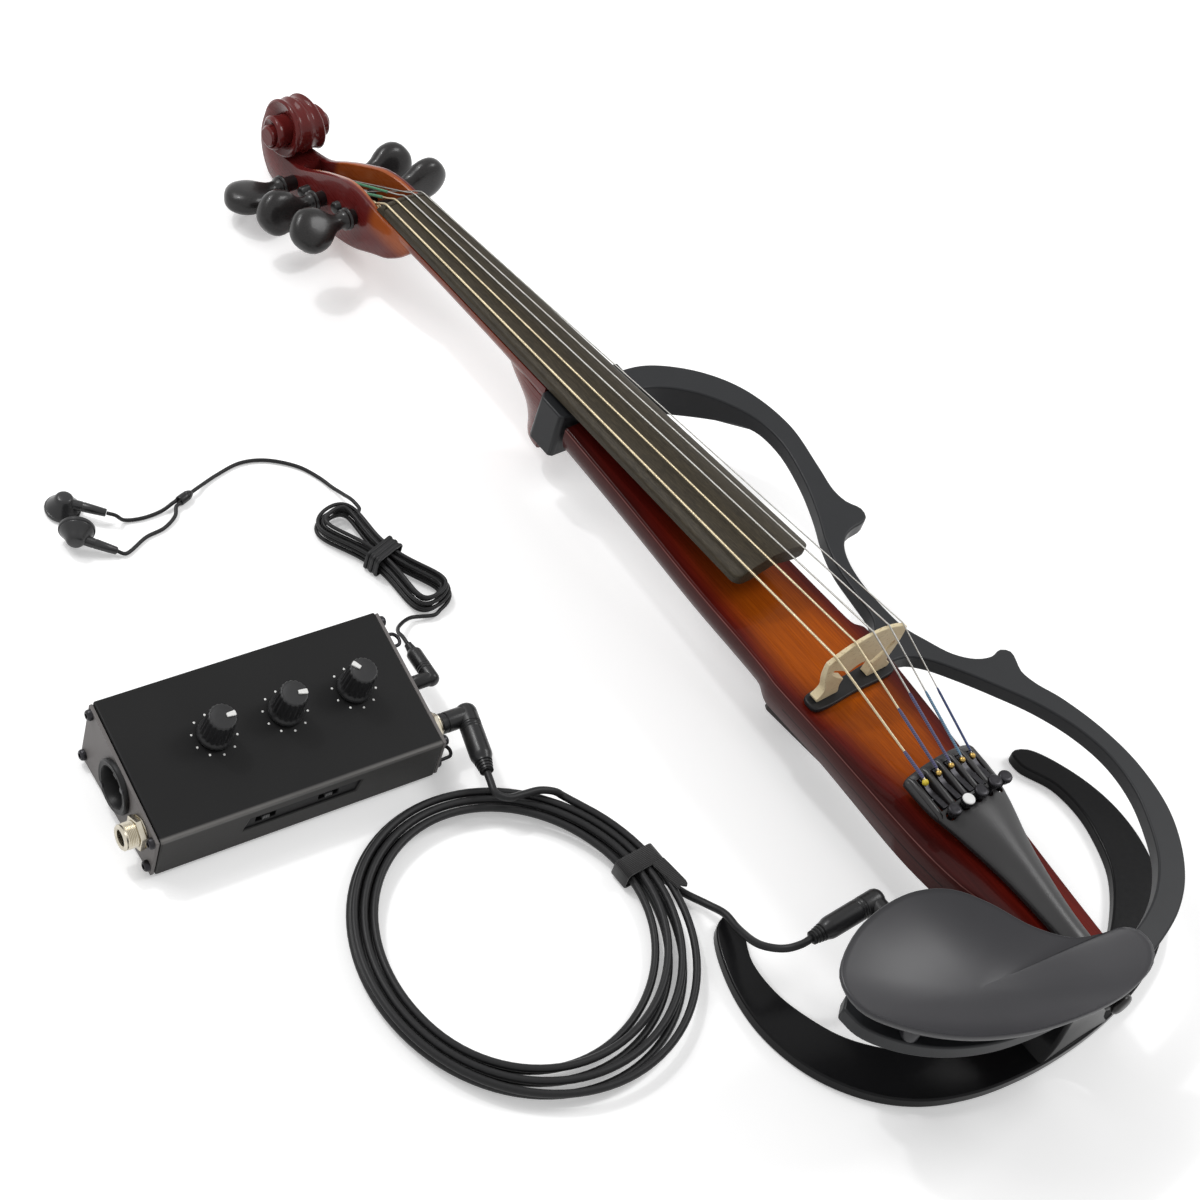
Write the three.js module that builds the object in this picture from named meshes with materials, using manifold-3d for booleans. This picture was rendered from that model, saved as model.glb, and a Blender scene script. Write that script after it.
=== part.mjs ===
// Electric violin with five strings, laid out with its control box, cable and earphones
import * as THREE from 'three';
import { mergeVertices } from 'three/addons/utils/BufferGeometryUtils.js';
import Module from 'manifold-3d';

const wasm = await Module();
wasm.setup();

// Driving dimensions, in millimetres
// The violin's own frame starts under the bridge: X to the treble side, Y to the scroll, Z up
const STRING_LENGTH = 328;
const STAND_HEIGHT = 54; // body top above the table
const SEAT_GAP = 0.3; // between pieces that touch
const NUT_TOP = 4.6; // middle string at the nut, above the body top
const BRIDGE_TOP = 36.3; // middle string at the bridge
const TAIL_TOP = 15.3; // middle string at the tailpiece
const TAIL_STRING_Y = -59;
const NUT_SPACING = 5.5;
const BRIDGE_SPACING = 10.1;
const TAIL_SPACING = 7.2;
const STRING_RADII = [0.55, 0.48, 0.42, 0.36, 0.3]; // bass to treble
const BOARD_LENGTH = 270;
const BOARD_NUT_WIDTH = 26.8;
const BOARD_END_WIDTH = 43.7;
const BOARD_RADIUS = 42;
const HEEL_Y = 196;
const YOKE_Y = 176;
const BODY_TAIL_Y = -158;
const BODY_DEPTH = 15;
const LOWER_BODY_DEPTH = 19;
const FRAME_TOP = -5;
const FRAME_THICKNESS = 8;
const REST_THICKNESS = 6;
const REST_CENTRE_X = -3;
const EYE_Y = 412; // centre of the scroll
const EYE_Z = -20.5;
const SCROLL_RADIUS = 33.2;
const SCROLL_TIGHTNESS = 0.2455 / (Math.PI / 2); // how fast the spiral closes
const EYE_HALF_WIDTH = 20.5;
const PEG_STATIONS = [347, 360, 373, 385.5, 398]; // bass, treble, bass, treble, bass
const PEG_SIDES = [-1, 1, -1, 1, -1];
const PEG_TURNS = [145, 85, 120, 60, 10]; // how each head stands, in degrees
const BOX_LENGTH = 134;
const BOX_WIDTH = 65;
const BOX_BACK_HEIGHT = 36;
const BOX_FRONT_HEIGHT = 24;
const BOX_WALL = 1.6;
const BOX_FOOT = 1.5;
const BOX_PLACE = [-218.4, 113.25];
const BOX_TURN = -6.3; // degrees
const KNOB_STATIONS = [-25, 7.5, 40];
const KNOB_LINE = 3; // across the panel
const CABLE_RADIUS = 1.7;
const COIL_CENTRE = [-175, -12];
const COIL_HALF_AXES = [71, 75.5];
const COIL_LOOPS = 6;
const COIL_FLOOR = 1.6; // the strap passes under the coil
const PHONES_CORD_RADIUS = 0.9;
const HANK_LOOPS = 7.325;

const ON_THE_CORDS = /cable|plug|phones_lead|phones_hank|phones_cord|hank_tie|splitter|earphone_cord/;

const RADIANS = Math.PI / 180;
const vec = (x, y, z) => new THREE.Vector3(x, y, z);
const clamp = THREE.MathUtils.clamp;
const smoothstep = THREE.MathUtils.smoothstep;
const lerp = THREE.MathUtils.lerp;

// Value at x on a smooth line through [x, value] stations
function along(stations, x) {
  const last = stations.length - 1;
  if (x <= stations[0][0]) return stations[0][1];
  if (x >= stations[last][0]) return stations[last][1];
  const i = stations.findIndex((s, k) => k < last && x <= stations[k + 1][0]);
  const [x0, v0] = stations[i];
  const [x1, v1] = stations[i + 1];
  const slopeAt = (k) => {
    const a = stations[Math.max(k - 1, 0)];
    const b = stations[Math.min(k + 1, last)];
    return (b[1] - a[1]) / (b[0] - a[0]);
  };
  const h = x1 - x0;
  const t = (x - x0) / h;
  const start = (2 * t ** 3 - 3 * t ** 2 + 1) * v0 + (t ** 3 - 2 * t ** 2 + t) * h * slopeAt(i);
  return start + (3 * t ** 2 - 2 * t ** 3) * v1 + (t ** 3 - t ** 2) * h * slopeAt(i + 1);
}

// Geometry with shared corners, no empty triangles and its faces pointing out
function clean(geometry) {
  const bare = geometry.clone();
  bare.deleteAttribute('normal');
  bare.deleteAttribute('uv');
  const welded = mergeVertices(bare, 1e-4);
  const position = welded.attributes.position;
  const corners = [];
  let volume = 0;
  const [a, b, c] = [vec(), vec(), vec()];
  for (let i = 0; i < welded.index.count; i += 3) {
    const [ia, ib, ic] = [0, 1, 2].map((k) => welded.index.getX(i + k));
    if (ia !== ib && ib !== ic && ic !== ia) {
      corners.push([ia, ib, ic]);
      a.fromBufferAttribute(position, ia);
      b.fromBufferAttribute(position, ib);
      c.fromBufferAttribute(position, ic);
      volume += a.dot(b.cross(c));
    }
  }
  const outward = volume > 0 ? corners : corners.map(([p, q, r]) => [p, r, q]);
  welded.setIndex(outward.flat());
  return welded;
}

// Closed solid through a row of rings that have the same number of points
function loft(rings) {
  const count = rings[0].length;
  const positions = rings.flat().flatMap((p) => [p.x, p.y, p.z]);
  const index = [];
  for (let r = 0; r + 1 < rings.length; r += 1) {
    for (let i = 0; i < count; i += 1) {
      const a = r * count + i;
      const b = r * count + ((i + 1) % count);
      index.push(a, b, b + count, a, b + count, a + count);
    }
  }
  const ends = [[0, 1], [(rings.length - 1) * count, -1]];
  ends.forEach(([first, turn]) => {
    const ring = rings[first / count];
    const middle = ring.reduce((sum, p) => sum.add(p), vec(0, 0, 0)).divideScalar(count);
    const centre = positions.length / 3;
    positions.push(middle.x, middle.y, middle.z);
    for (let i = 0; i < count; i += 1) {
      const a = first + i;
      const b = first + ((i + 1) % count);
      index.push(...(turn > 0 ? [centre, b, a] : [centre, a, b]));
    }
  });
  const geometry = new THREE.BufferGeometry();
  geometry.setAttribute('position', new THREE.Float32BufferAttribute(positions, 3));
  geometry.setIndex(index);
  return clean(geometry);
}

function place(geometry, x, y, z, turnX = 0, turnY = 0, turnZ = 0) {
  const turn = new THREE.Euler(turnX * RADIANS, turnY * RADIANS, turnZ * RADIANS);
  const matrix = new THREE.Matrix4().makeRotationFromEuler(turn).setPosition(x, y, z);
  return geometry.clone().applyMatrix4(matrix);
}

const block = (x0, x1, y0, y1, z0, z1) => {
  const middle = [(x0 + x1) / 2, (y0 + y1) / 2, (z0 + z1) / 2];
  return place(new THREE.BoxGeometry(x1 - x0, y1 - y0, z1 - z0), ...middle);
};

// Revolved solid about Z from [radius, height] points that start and end on the axis
const turned = (profile, sides) => {
  const points = profile.map(([r, h]) => new THREE.Vector2(r, h));
  return clean(place(new THREE.LatheGeometry(points, sides), 0, 0, 0, 90));
};

const rod = (radius, z0, z1, sides) => turned([[0, z0], [radius, z0], [radius, z1], [0, z1]], sides);

// Plate from an outline in XY, standing on z, with bevelled edges
function plate(shape, z, thickness, bevel = 0, curveSegments = 6) {
  const options = { depth: thickness - 2 * bevel, curveSegments, bevelEnabled: bevel > 0 };
  Object.assign(options, { bevelThickness: bevel, bevelSize: bevel, bevelOffset: -bevel });
  options.bevelSegments = 1;
  return clean(place(new THREE.ExtrudeGeometry(shape, options), 0, 0, z + bevel));
}

// Turns a shape drawn in (y, z) into a plate that spans x0 to x1
function endwise(shape, x0, x1) {
  const slab = new THREE.ExtrudeGeometry(shape, { depth: x1 - x0, bevelEnabled: false });
  const stand = new THREE.Matrix4().set(0, 0, 1, x0, 1, 0, 0, 0, 0, 1, 0, 0, 0, 0, 0, 1);
  return clean(slab.applyMatrix4(stand));
}

const outline = (points) => new THREE.Shape(points.map(([x, y]) => new THREE.Vector2(x, y)));

// Smooth closed outline through points, or an open row of points on it
function spline(points, count, closed = true) {
  const knots = points.map(([x, y]) => vec(x, y, 0));
  const curve = new THREE.CatmullRomCurve3(knots, closed, 'centripetal');
  const row = curve.getSpacedPoints(count).map((p) => [p.x, p.y]);
  return closed ? row.slice(0, -1) : row;
}

// Round tube along hand-picked points, capped at both ends
function tube(points, radius, sides, steps) {
  const path = new THREE.CatmullRomCurve3(points.map((p) => vec(...p)), false, 'centripetal');
  const corners = Array.from({ length: sides }, (_, i) => (2 * Math.PI * i) / sides);
  const section = outline(corners.map((t) => [radius * Math.cos(t), radius * Math.sin(t)]));
  return clean(new THREE.ExtrudeGeometry(section, { steps, extrudePath: path }));
}

// Round ring of points in the plane of two directions
function ringAround(middle, across, up, radius, sides) {
  return Array.from({ length: sides }, (_, j) => {
    const t = (2 * Math.PI * (j + 0.5)) / sides;
    return middle.clone()
      .addScaledVector(across, radius * Math.cos(t))
      .addScaledVector(up, radius * Math.sin(t));
  });
}

// Boolean joins and cuts
function solid(geometry) {
  const welded = clean(geometry);
  return new wasm.Manifold(
    new wasm.Mesh({
      numProp: 3,
      vertProperties: new Float32Array(welded.attributes.position.array),
      triVerts: new Uint32Array(welded.index.array),
    }),
  );
}

function surface(manifold) {
  const mesh = manifold.getMesh();
  const geometry = new THREE.BufferGeometry();
  geometry.setAttribute('position', new THREE.BufferAttribute(mesh.vertProperties, 3));
  geometry.setIndex(new THREE.BufferAttribute(mesh.triVerts, 1));
  return geometry;
}

const join = (first, ...rest) => surface(rest.reduce((sum, g) => sum.add(solid(g)), solid(first)));
const cut = (first, ...tools) => surface(tools.reduce((left, g) => left.subtract(solid(g)), solid(first)));

// Finishes
const finish = (colour, roughness, metalness = 0) =>
  new THREE.MeshStandardMaterial({ color: colour, roughness, metalness });

// Scene groups
const set = new THREE.Group();
const violin = new THREE.Group();
violin.position.z = STAND_HEIGHT;
const box = new THREE.Group();
box.position.set(...BOX_PLACE, 0);
box.rotation.z = BOX_TURN * RADIANS;
const leads = new THREE.Group();
set.add(violin, box, leads);

function add(group, name, geometry, material) {
  const mesh = new THREE.Mesh(clean(geometry), material);
  mesh.name = name;
  mesh.geometry.computeVertexNormals();
  group.add(mesh);
  return mesh;
}

// Fingerboard: a tapering board with a round top, hollowed where it overhangs the body
const boardHalf = (y) => lerp(BOARD_NUT_WIDTH, BOARD_END_WIDTH, (STRING_LENGTH - y) / BOARD_LENGTH) / 2;
const boardTop = (y) => 4.1 + (0.0807 * (STRING_LENGTH - y));
const boardBase = (y) => -2.7 + (0.0663 * (STRING_LENGTH - y));
const boardDrop = (x) => BOARD_RADIUS - Math.sqrt(BOARD_RADIUS ** 2 - x ** 2);

function fingerboard() {
  const end = STRING_LENGTH - BOARD_LENGTH;
  const stations = [end, end + 1, end + 3.5, 110, 165, 192, 240, STRING_LENGTH - SEAT_GAP];
  const rings = stations.map((y) => {
    const rounding = y < end + 3.5 ? [2.4, 0.8][y - end > 0.5 ? 1 : 0] : 0;
    const half = boardHalf(y) - rounding;
    const hollow = 3.2 * (1 - smoothstep(y, 165, 192));
    const top = Array.from({ length: 9 }, (_, i) => {
      const x = lerp(half - 0.7, -half + 0.7, i / 8);
      return vec(x, y, boardTop(y) - boardDrop(x) - rounding * 0.15);
    });
    const edge = boardTop(y) - boardDrop(half) - 0.7;
    const base = boardBase(y);
    const under = [[-half, edge], [-half + 0.4, base], [-half + 5, base], [0, base + hollow]];
    const mirrored = [[half - 5, base], [half - 0.4, base], [half, edge]];
    return [...top, ...[...under, ...mirrored].map(([x, z]) => vec(x, y, z))];
  });
  return loft(rings);
}

// Neck shaft, heel and tenon
const neckBottom = (y) => along([[196, -12], [225, -10], [260, -11.4], [320, -14.8], [328, -16]], y);

function neckShaft() {
  const rings = [HEEL_Y, 210, 235, 262, 290, 315, 331].map((y) => {
    const half = boardHalf(y) - 0.2;
    const top = boardBase(y) - SEAT_GAP;
    const depth = top - neckBottom(y);
    return Array.from({ length: 11 }, (_, i) => {
      const t = (Math.PI * i) / 10;
      return vec(half * Math.cos(t), y, top - depth * Math.sin(t) ** 0.8);
    });
  });
  return loft(rings);
}

function neckHeel() {
  // height, half width, and how far the round back reaches
  const levels = [[-38, 8.5, 207], [-36.6, 10.6, 210], [-28, 12, 212.4], [-20, 13.4, 216.5],
    [-14, 14.8, 223], [-8, 16, 234], [-1, 16.6, 244]];
  const rings = levels.map(([z, half, back]) =>
    Array.from({ length: 11 }, (_, i) => {
      const t = (Math.PI * i) / 10;
      return vec(half * Math.cos(t), HEEL_Y + (back - HEEL_Y) * Math.sin(t) ** 0.85, z);
    }));
  return loft(rings);
}

// Pegbox and scroll: one carved band that follows the pegbox back and winds up into the volute.
// A ring runs across the band from its inner line to its fluted outer line.
function bandRing(inner, outer, half, flute) {
  const [iy, iz] = inner;
  const [oy, oz] = outer;
  const reach = Math.hypot(oy - iy, oz - iz);
  const at = (x, depth) => {
    const k = 1 - depth / reach;
    return vec(x, lerp(iy, oy, k), lerp(iz, oz, k));
  };
  const side = [[half, reach], [half, 1.5], [half - 1.4, 0]];
  const groove = [[half * 0.45, flute], [0, flute * 0.15]];
  const right = [...side, ...groove];
  const left = [...groove.slice(0, 1), ...[...side].reverse()].map(([x, d]) => [-x, d]);
  return [...right, ...left].map(([x, d]) => at(x, d));
}

const scrollRadius = (t) => SCROLL_RADIUS * Math.exp(-SCROLL_TIGHTNESS * t);
const scrollHalf = (t) => along([[0, 8.6], [1.6, 7.3], [3.1, 8.4], [4.7, 10.8], [6.3, 13.4],
  [7.9, 15.7], [9.4, 17.8], [11, 19.6], [12.6, EYE_HALF_WIDTH]], t);
const scrollPoint = (t, r) => [EYE_Y + r * Math.sin(t), EYE_Z - r * Math.cos(t)];

// Half width, rim height and back height of the pegbox at stations along Y
const PEGBOX_STATIONS = [[327.5, 13.3, -3.4, -16], [330.5, 13.9, -3.3, -24], [334.5, 14.2, -3, -30],
  [340, 14, -2.8, -34.8], [348, 13.3, -3, -38.8], [358, 12.6, -4.6, -42.2], [371, 11.6, -11, -46],
  [385, 10.4, -20.5, -49.6], [397, 9.4, -28.5, -52.2]];

function pegboxAndScroll() {
  const pegbox = PEGBOX_STATIONS.map(([y, half, rim, back]) =>
    bandRing([y, rim], [y, back], half, 1.1 * smoothstep(y, 336, 352)));
  const turn = 16; // steps in one turn of the volute
  const step = (2 * Math.PI) / turn;
  const band = (first, last) => {
    const rings = [];
    for (let k = first; k <= last; k += 1) {
      const t = k * step;
      const outer = scrollRadius(t);
      const inner = k >= 2 * turn ? 0.4 : Math.max(scrollRadius(t + 2 * Math.PI) - 0.8, 0.4);
      const flute = Math.min(1.1, outer * 0.06);
      rings.push(bandRing(scrollPoint(t, inner), scrollPoint(t, outer), scrollHalf(t), flute));
    }
    return rings;
  };
  const first = loft([...pegbox, ...band(0, turn / 2)]);
  const windings = [[turn / 2, turn], [turn, 1.5 * turn], [1.5 * turn, 2 * turn]];
  const eye = place(rod(scrollRadius(4 * Math.PI) + 0.9, -EYE_HALF_WIDTH, EYE_HALF_WIDTH, 16), 0,
    EYE_Y, EYE_Z, 0, 90);
  return join(first, ...windings.map(([a, b]) => loft(band(a, b))), eye);
}

// The open trough between the pegbox cheeks
function pegboxTrough() {
  // station, half width, floor
  const stations = [[333.8, 10.8, -7], [341, 10.2, -26], [352, 9, -33], [372, 7.4, -38.5],
    [386, 6.2, -42], [398, 5.2, -43.6]];
  return loft(stations.map(([y, half, floor]) =>
    [[half, 8], [-half, 8], [-half, floor + 2], [-half + 2, floor], [half - 2, floor], [half, floor + 2]]
      .map(([x, z]) => vec(x, y, z))));
}

const pegHeight = (y) => along([[340, -16], [347, -18.5], [360, -23.5], [373, -29], [385.5, -35],
  [398, -40]], y);
const pegRadius = (s) => lerp(3.2, 4, clamp((s + 16) / 34, 0, 1)); // the taper of the shank

const PEG_CLEARANCE = 0.65; // to the corners of the faceted hole
function pegHole(i) {
  const [narrow, wide] = [pegRadius(-16) + PEG_CLEARANCE, pegRadius(18) + PEG_CLEARANCE];
  const flare = turned([[0, -24], [narrow, -24], [narrow, -16], [wide, 18], [wide, 26], [0, 26]], 8);
  return place(flare, 0, PEG_STATIONS[i], pegHeight(PEG_STATIONS[i]), 0, 90 * PEG_SIDES[i]);
}

function neck() {
  const tenon = block(-8, 8, YOKE_Y - 10, HEEL_Y + 2, -13, -3);
  const carved = join(neckShaft(), neckHeel(), pegboxAndScroll(), tenon);
  return cut(carved, pegboxTrough(), ...PEG_STATIONS.map((_, i) => pegHole(i)));
}

// Nut, with a notch for each string
const stringX = (i, spacing) => (i - 2) * spacing;
const stringZ = (top, x) => top - boardDrop(x);

function nut() {
  const rings = [[STRING_LENGTH, 0.9], [STRING_LENGTH + 1.2, 0], [STRING_LENGTH + 3.4, 1.6],
    [STRING_LENGTH + 5.2, 3.5]].map(([y, low]) => {
    const half = BOARD_NUT_WIDTH / 2 - 0.3;
    const top = Array.from({ length: 9 }, (_, i) => {
      const x = lerp(half, -half, i / 8);
      return vec(x, y, NUT_TOP - 0.9 - boardDrop(x) - low);
    });
    return [...top, vec(-half, y, -2.4), vec(half, y, -2.4)];
  });
  return loft(rings);
}

// Pegs: a tapered shank, a turned collar and a flat thumb piece
function peg(turnDegrees) {
  // place along the peg from the middle of the pegbox, half height, half thickness
  const stations = [[-15.5, 2.6, 2.6], [-14.5, pegRadius(-14.5), pegRadius(-14.5)],
    [16.5, pegRadius(16.5), pegRadius(16.5)], [17.5, 5.4, 5.4], [19.5, 5.7, 5.7], [20.8, 4.3, 4.3],
    [24, 4.3, 4.2], [28.5, 6.9, 5.1], [33.5, 10.4, 6.3], [38.5, 11.3, 6.5], [44, 9.2, 5.7],
    [47.8, 3, 2.2]];
  const tilt = turnDegrees * RADIANS;
  const rings = stations.map(([s, tall, thick]) =>
    Array.from({ length: 8 }, (_, i) => {
      const t = (2 * Math.PI * i) / 8;
      const [u, v] = [tall * Math.cos(t), thick * Math.sin(t)];
      return vec(s, u * Math.cos(tilt) - v * Math.sin(tilt), u * Math.sin(tilt) + v * Math.cos(tilt));
    }));
  return loft(rings);
}

// Body: a slim tapering slab that steps out by the bridge and tapers to the tail
const bodyHalf = (y) => along([[-158, 13.5], [-124, 17], [-77, 21.6], [-30, 26.6], [0, 29.4], [16, 31],
  [21, 30.8], [25, 27.6], [40, 26.6], [74, 25.2], [130, 21.6], [176, 19.4]], y);

function body() {
  const stations = [BODY_TAIL_Y, BODY_TAIL_Y + 2.5, -124, -77, -30, 0, 16, 20.5, 24.5, 40, 74, 130,
    YOKE_Y - SEAT_GAP];
  const rings = stations.map((y) => {
    const ends = y < BODY_TAIL_Y + 1 ? 2 : 0;
    const half = bodyHalf(y) - ends;
    const depth = lerp(LOWER_BODY_DEPTH, BODY_DEPTH, smoothstep(y, 18, 27));
    const crown = [[1, -5], [0.985, -1.9], [0.93, -0.7], [0.8, -0.15], [0.55, 0], [0, 0]];
    const right = [[1, -depth + 1.2], ...crown];
    const left = right.slice(0, -1).reverse().map(([x, z]) => [-x, z]);
    const profile = [...right, ...left].map(([x, z]) => vec(x * half, y, z - (z > -3 ? ends * 0.4 : 0)));
    const foot = (side) => vec(side * (half - 1.2), y, -depth);
    return [...profile, foot(-1), foot(1)];
  });
  const mortise = block(-8.3, 8.3, YOKE_Y - 10.3, YOKE_Y + 1, -13.3, -2.7);
  return cut(loft(rings), mortise, buttonHole());
}

const COVER_DEPTH = 6;
// Back cover: a shallow black tray under the lower body, over the electronics
const COVER_SCREWS = [[-18, 6], [18, 6], [-14, -70], [14, -70], [-9, -138], [9, -138]];
function backCover() {
  const tray = [[19, 1.8], [17, 0.4], [-20, 0.4], [-77, 0.4], [-124, 0.4], [-152, 0.4], [-154, 1.6]]
    .map(([y, inset]) => {
      const half = bodyHalf(y) - inset;
      const top = -LOWER_BODY_DEPTH - SEAT_GAP;
      const low = top - COVER_DEPTH;
      return [[half, top], [half, low + 2.5], [half - 2.5, low], [-half + 2.5, low], [-half, low + 2.5],
        [-half, top]].map(([x, z]) => vec(x, y, z));
    });
  const head = turned([[0, -1.2], [2, -1.2], [2.9, -0.6], [2.9, 0.6], [0, 0.6]], 8);
  const under = -LOWER_BODY_DEPTH - SEAT_GAP - COVER_DEPTH;
  return join(loft(tray), ...COVER_SCREWS.map(([x, y]) => place(head, x, y, under)));
}

// Jack housing: a pod beside the tail, under the chin rest, with its socket to the scroll
const JACK = [-54, -104, -17];
const JACK_COLLAR = 2.4;
function jackHousing() {
  const inner = [-141, -130, -118, JACK[1]].map((y) => [-bodyHalf(y) - SEAT_GAP, y]);
  const pod = plate(outline([[-62, -138], [-58, -141], ...inner, [-59, JACK[1]], [-62, -107]]), -26, 17, 1.2);
  const collar = place(rod(7, -1, JACK_COLLAR, 14), ...JACK, -90);
  const bore = place(rod(3.7, -34, 4, 12), ...JACK, -90);
  return cut(join(pod, collar), bore);
}

// Bridge seat and bridge
function bridgeBase() {
  const seat = outline(spline([[-25, -6], [0, -7], [25, -6], [26.5, 0], [25, 5.5], [0, 6.5], [-25, 5.5],
    [-26.5, 0]], 22));
  return plate(seat, SEAT_GAP, 2.4, 0.6);
}

const BRIDGE_FOOT = 3;
function bridge() {
  const shape = new THREE.Shape();
  const crown = BRIDGE_TOP - 1.15;
  const half = 23.4;
  shape.moveTo(-21.5, BRIDGE_FOOT);
  shape.lineTo(-9, BRIDGE_FOOT);
  shape.lineTo(-9, BRIDGE_FOOT + 1.6);
  shape.quadraticCurveTo(-10.5, 9, -8.6, 11.5);
  shape.quadraticCurveTo(-14.5, 15, -18, 19.2);
  shape.quadraticCurveTo(-19.4, 20.6, -18, 21.6);
  shape.quadraticCurveTo(-12.5, 19, -6.6, 14.6);
  shape.quadraticCurveTo(0, 19.2, 6.6, 14.6);
  shape.quadraticCurveTo(12.5, 19, 18, 21.6);
  shape.quadraticCurveTo(19.4, 20.6, 18, 19.2);
  shape.quadraticCurveTo(14.5, 15, 8.6, 11.5);
  shape.quadraticCurveTo(10.5, 9, 9, BRIDGE_FOOT + 1.6);
  shape.lineTo(9, BRIDGE_FOOT);
  shape.lineTo(21.5, BRIDGE_FOOT);
  shape.lineTo(22.3, BRIDGE_FOOT + 1.8);
  shape.quadraticCurveTo(18, 8, 19.6, 11.6);
  shape.quadraticCurveTo(21.6, 16, 22.6, 20);
  shape.quadraticCurveTo(23.6, 25, half, crown - boardDrop(half));
  Array.from({ length: 9 }, (_, i) => lerp(half - 3, -half + 3, i / 8))
    .forEach((x) => shape.lineTo(x, crown - boardDrop(x)));
  shape.lineTo(-half, crown - boardDrop(half));
  shape.quadraticCurveTo(-23.6, 25, -22.6, 20);
  shape.quadraticCurveTo(-21.6, 16, -19.6, 11.6);
  shape.quadraticCurveTo(-18, 8, -22.3, BRIDGE_FOOT + 1.8);
  const depth = 4.6;
  const blank = new THREE.ExtrudeGeometry(shape, { depth, curveSegments: 4, bevelEnabled: false });
  const stood = clean(place(blank, 0, depth / 2, 0, 90));
  const position = stood.attributes.position;
  for (let i = 0; i < position.count; i += 1) {
    const rise = clamp((position.getZ(i) - BRIDGE_FOOT) / (crown - BRIDGE_FOOT), 0, 1);
    position.setY(i, position.getY(i) * (1 - 0.62 * rise));
  }
  return stood;
}

// Strings, from the pegs over the nut and the bridge to the tailpiece
function stringPath(i) {
  const order = [0, 2, 4, 3, 1][i]; // the peg each string winds on
  const pegY = PEG_STATIONS[order];
  const nutX = stringX(i, NUT_SPACING);
  const bridgeX = stringX(i, BRIDGE_SPACING);
  const tailX = stringX(i, TAIL_SPACING);
  const coilX = clamp(nutX * 0.8, -4.4, 4.4);
  const top = pegHeight(pegY) + pegRadius(0) + 1.3;
  return [
    [coilX, pegY - 1, top],
    [coilX, pegY - 4.5, top + 1.8],
    [nutX, STRING_LENGTH + 4.6, stringZ(NUT_TOP, nutX) - 1.7],
    [nutX, STRING_LENGTH + 1.2, stringZ(NUT_TOP, nutX)],
    [bridgeX, 0, stringZ(BRIDGE_TOP, bridgeX)],
    [tailX, TAIL_STRING_Y, stringZ(TAIL_TOP, tailX)],
  ];
}

function string(i) {
  const points = stringPath(i).map((p) => vec(...p));
  const rings = points.map((p, k) => {
    const before = points[Math.max(k - 1, 0)];
    const after = points[Math.min(k + 1, points.length - 1)];
    const ahead = after.clone().sub(before).normalize();
    const across = ahead.clone().cross(vec(0, 0, 1)).normalize();
    return ringAround(p, across, across.clone().cross(ahead), STRING_RADII[i], 6);
  });
  return loft(rings);
}

// Tailpiece: an arched wedge with a slot for each string's lever
const TAILPIECE_HEAD_Y = -54;
const TAILPIECE_END_Y = -153;
const TAILPIECE_LENGTH = TAILPIECE_HEAD_Y - TAILPIECE_END_Y;
const tailpieceHalf = (y) =>
  along([[-153, 7.6], [-140, 9], [-105, 13.6], [-84, 18], [-72, 20], [-54, 20.4]], y);
const tailpieceTop = (y) => lerp(14.6, 7.4, (TAILPIECE_HEAD_Y - y) / TAILPIECE_LENGTH);
const LEVER_Y = [-75, -57.5];
const LEVER_SLOT = 4;
const SCREW_Y = -78;
const CORD_HEIGHT = 1.6; // middle of the tail cord above the body

// Lever that holds a string's end; its pin crosses the slot and sits in the slot's walls
function tunerLever(i) {
  const x = stringX(i, TAIL_SPACING);
  const low = tailpieceTop(-66) - 4 * (x / 20) ** 2 - 2.6;
  const side = outline([[-57.9, low + 0.6], [-57.9, low + 3], [-60.6, low + 3.4], [-63, low + 2],
    [-74.4, low + 2.6], [-74.4, low + 0.6], [-66, low - 0.8]]);
  return join(endwise(side, x - 1.6, x + 1.6), place(rod(0.7, -2.8, 2.8, 6), x, -68, low + 0.6, 0, 90));
}

function tailpiece() {
  const stations = [TAILPIECE_END_Y, -151.5, -140, -120, -100, -84, -72, -57, TAILPIECE_HEAD_Y];
  const rings = stations.map((y) => {
    const half = tailpieceHalf(y) - (y < -152 ? 1.6 : 0);
    const top = tailpieceTop(y);
    const sag = half * 0.2;
    const thick = lerp(5.6, 4, (TAILPIECE_HEAD_Y - y) / TAILPIECE_LENGTH);
    const crown = [-1, -0.75, -0.4, 0, 0.4, 0.75, 1].map((k) => vec(k * half, y, top - sag * k * k));
    const under = [0.96, 0.5, 0, -0.5, -0.96].map((k) => vec(k * half, y, top - thick - 0.25 * sag * k * k));
    return [...crown, ...under];
  });
  const slots = STRING_RADII.map((_, i) => {
    const x = stringX(i, TAIL_SPACING);
    return block(x - LEVER_SLOT / 2, x + LEVER_SLOT / 2, ...LEVER_Y, 0, 20);
  });
  const holes = STRING_RADII.map((_, i) =>
    place(rod(1.5, -8, 8, 6), stringX(i, TAIL_SPACING), SCREW_Y, tailpieceTop(SCREW_Y) - 3));
  const pocket = block(-6.2, 6.2, -149, -142.4, -4, 5.2);
  const levers = STRING_RADII.map((_, i) => tunerLever(i));
  return join(cut(loft(rings), ...slots, ...holes, pocket), ...levers);
}

// Fine tuner screws, standing at different heights
const SCREW_HEADS = [15.2, 16.9, 18.8, 20.8, 19.2];
function tunerScrew(i) {
  const head = SCREW_HEADS[i];
  const x = stringX(i, TAIL_SPACING);
  const foot = tailpieceTop(SCREW_Y) - 7.5;
  return place(turned([[0, foot], [1.1, foot], [1.1, head - 4], [2.2, head - 3.4], [2.2, head - 2.6],
    [2.9, head - 1.8], [3.1, head - 0.4], [2.6, head], [0, head]], 8), x, SCREW_Y, 0);
}

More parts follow.
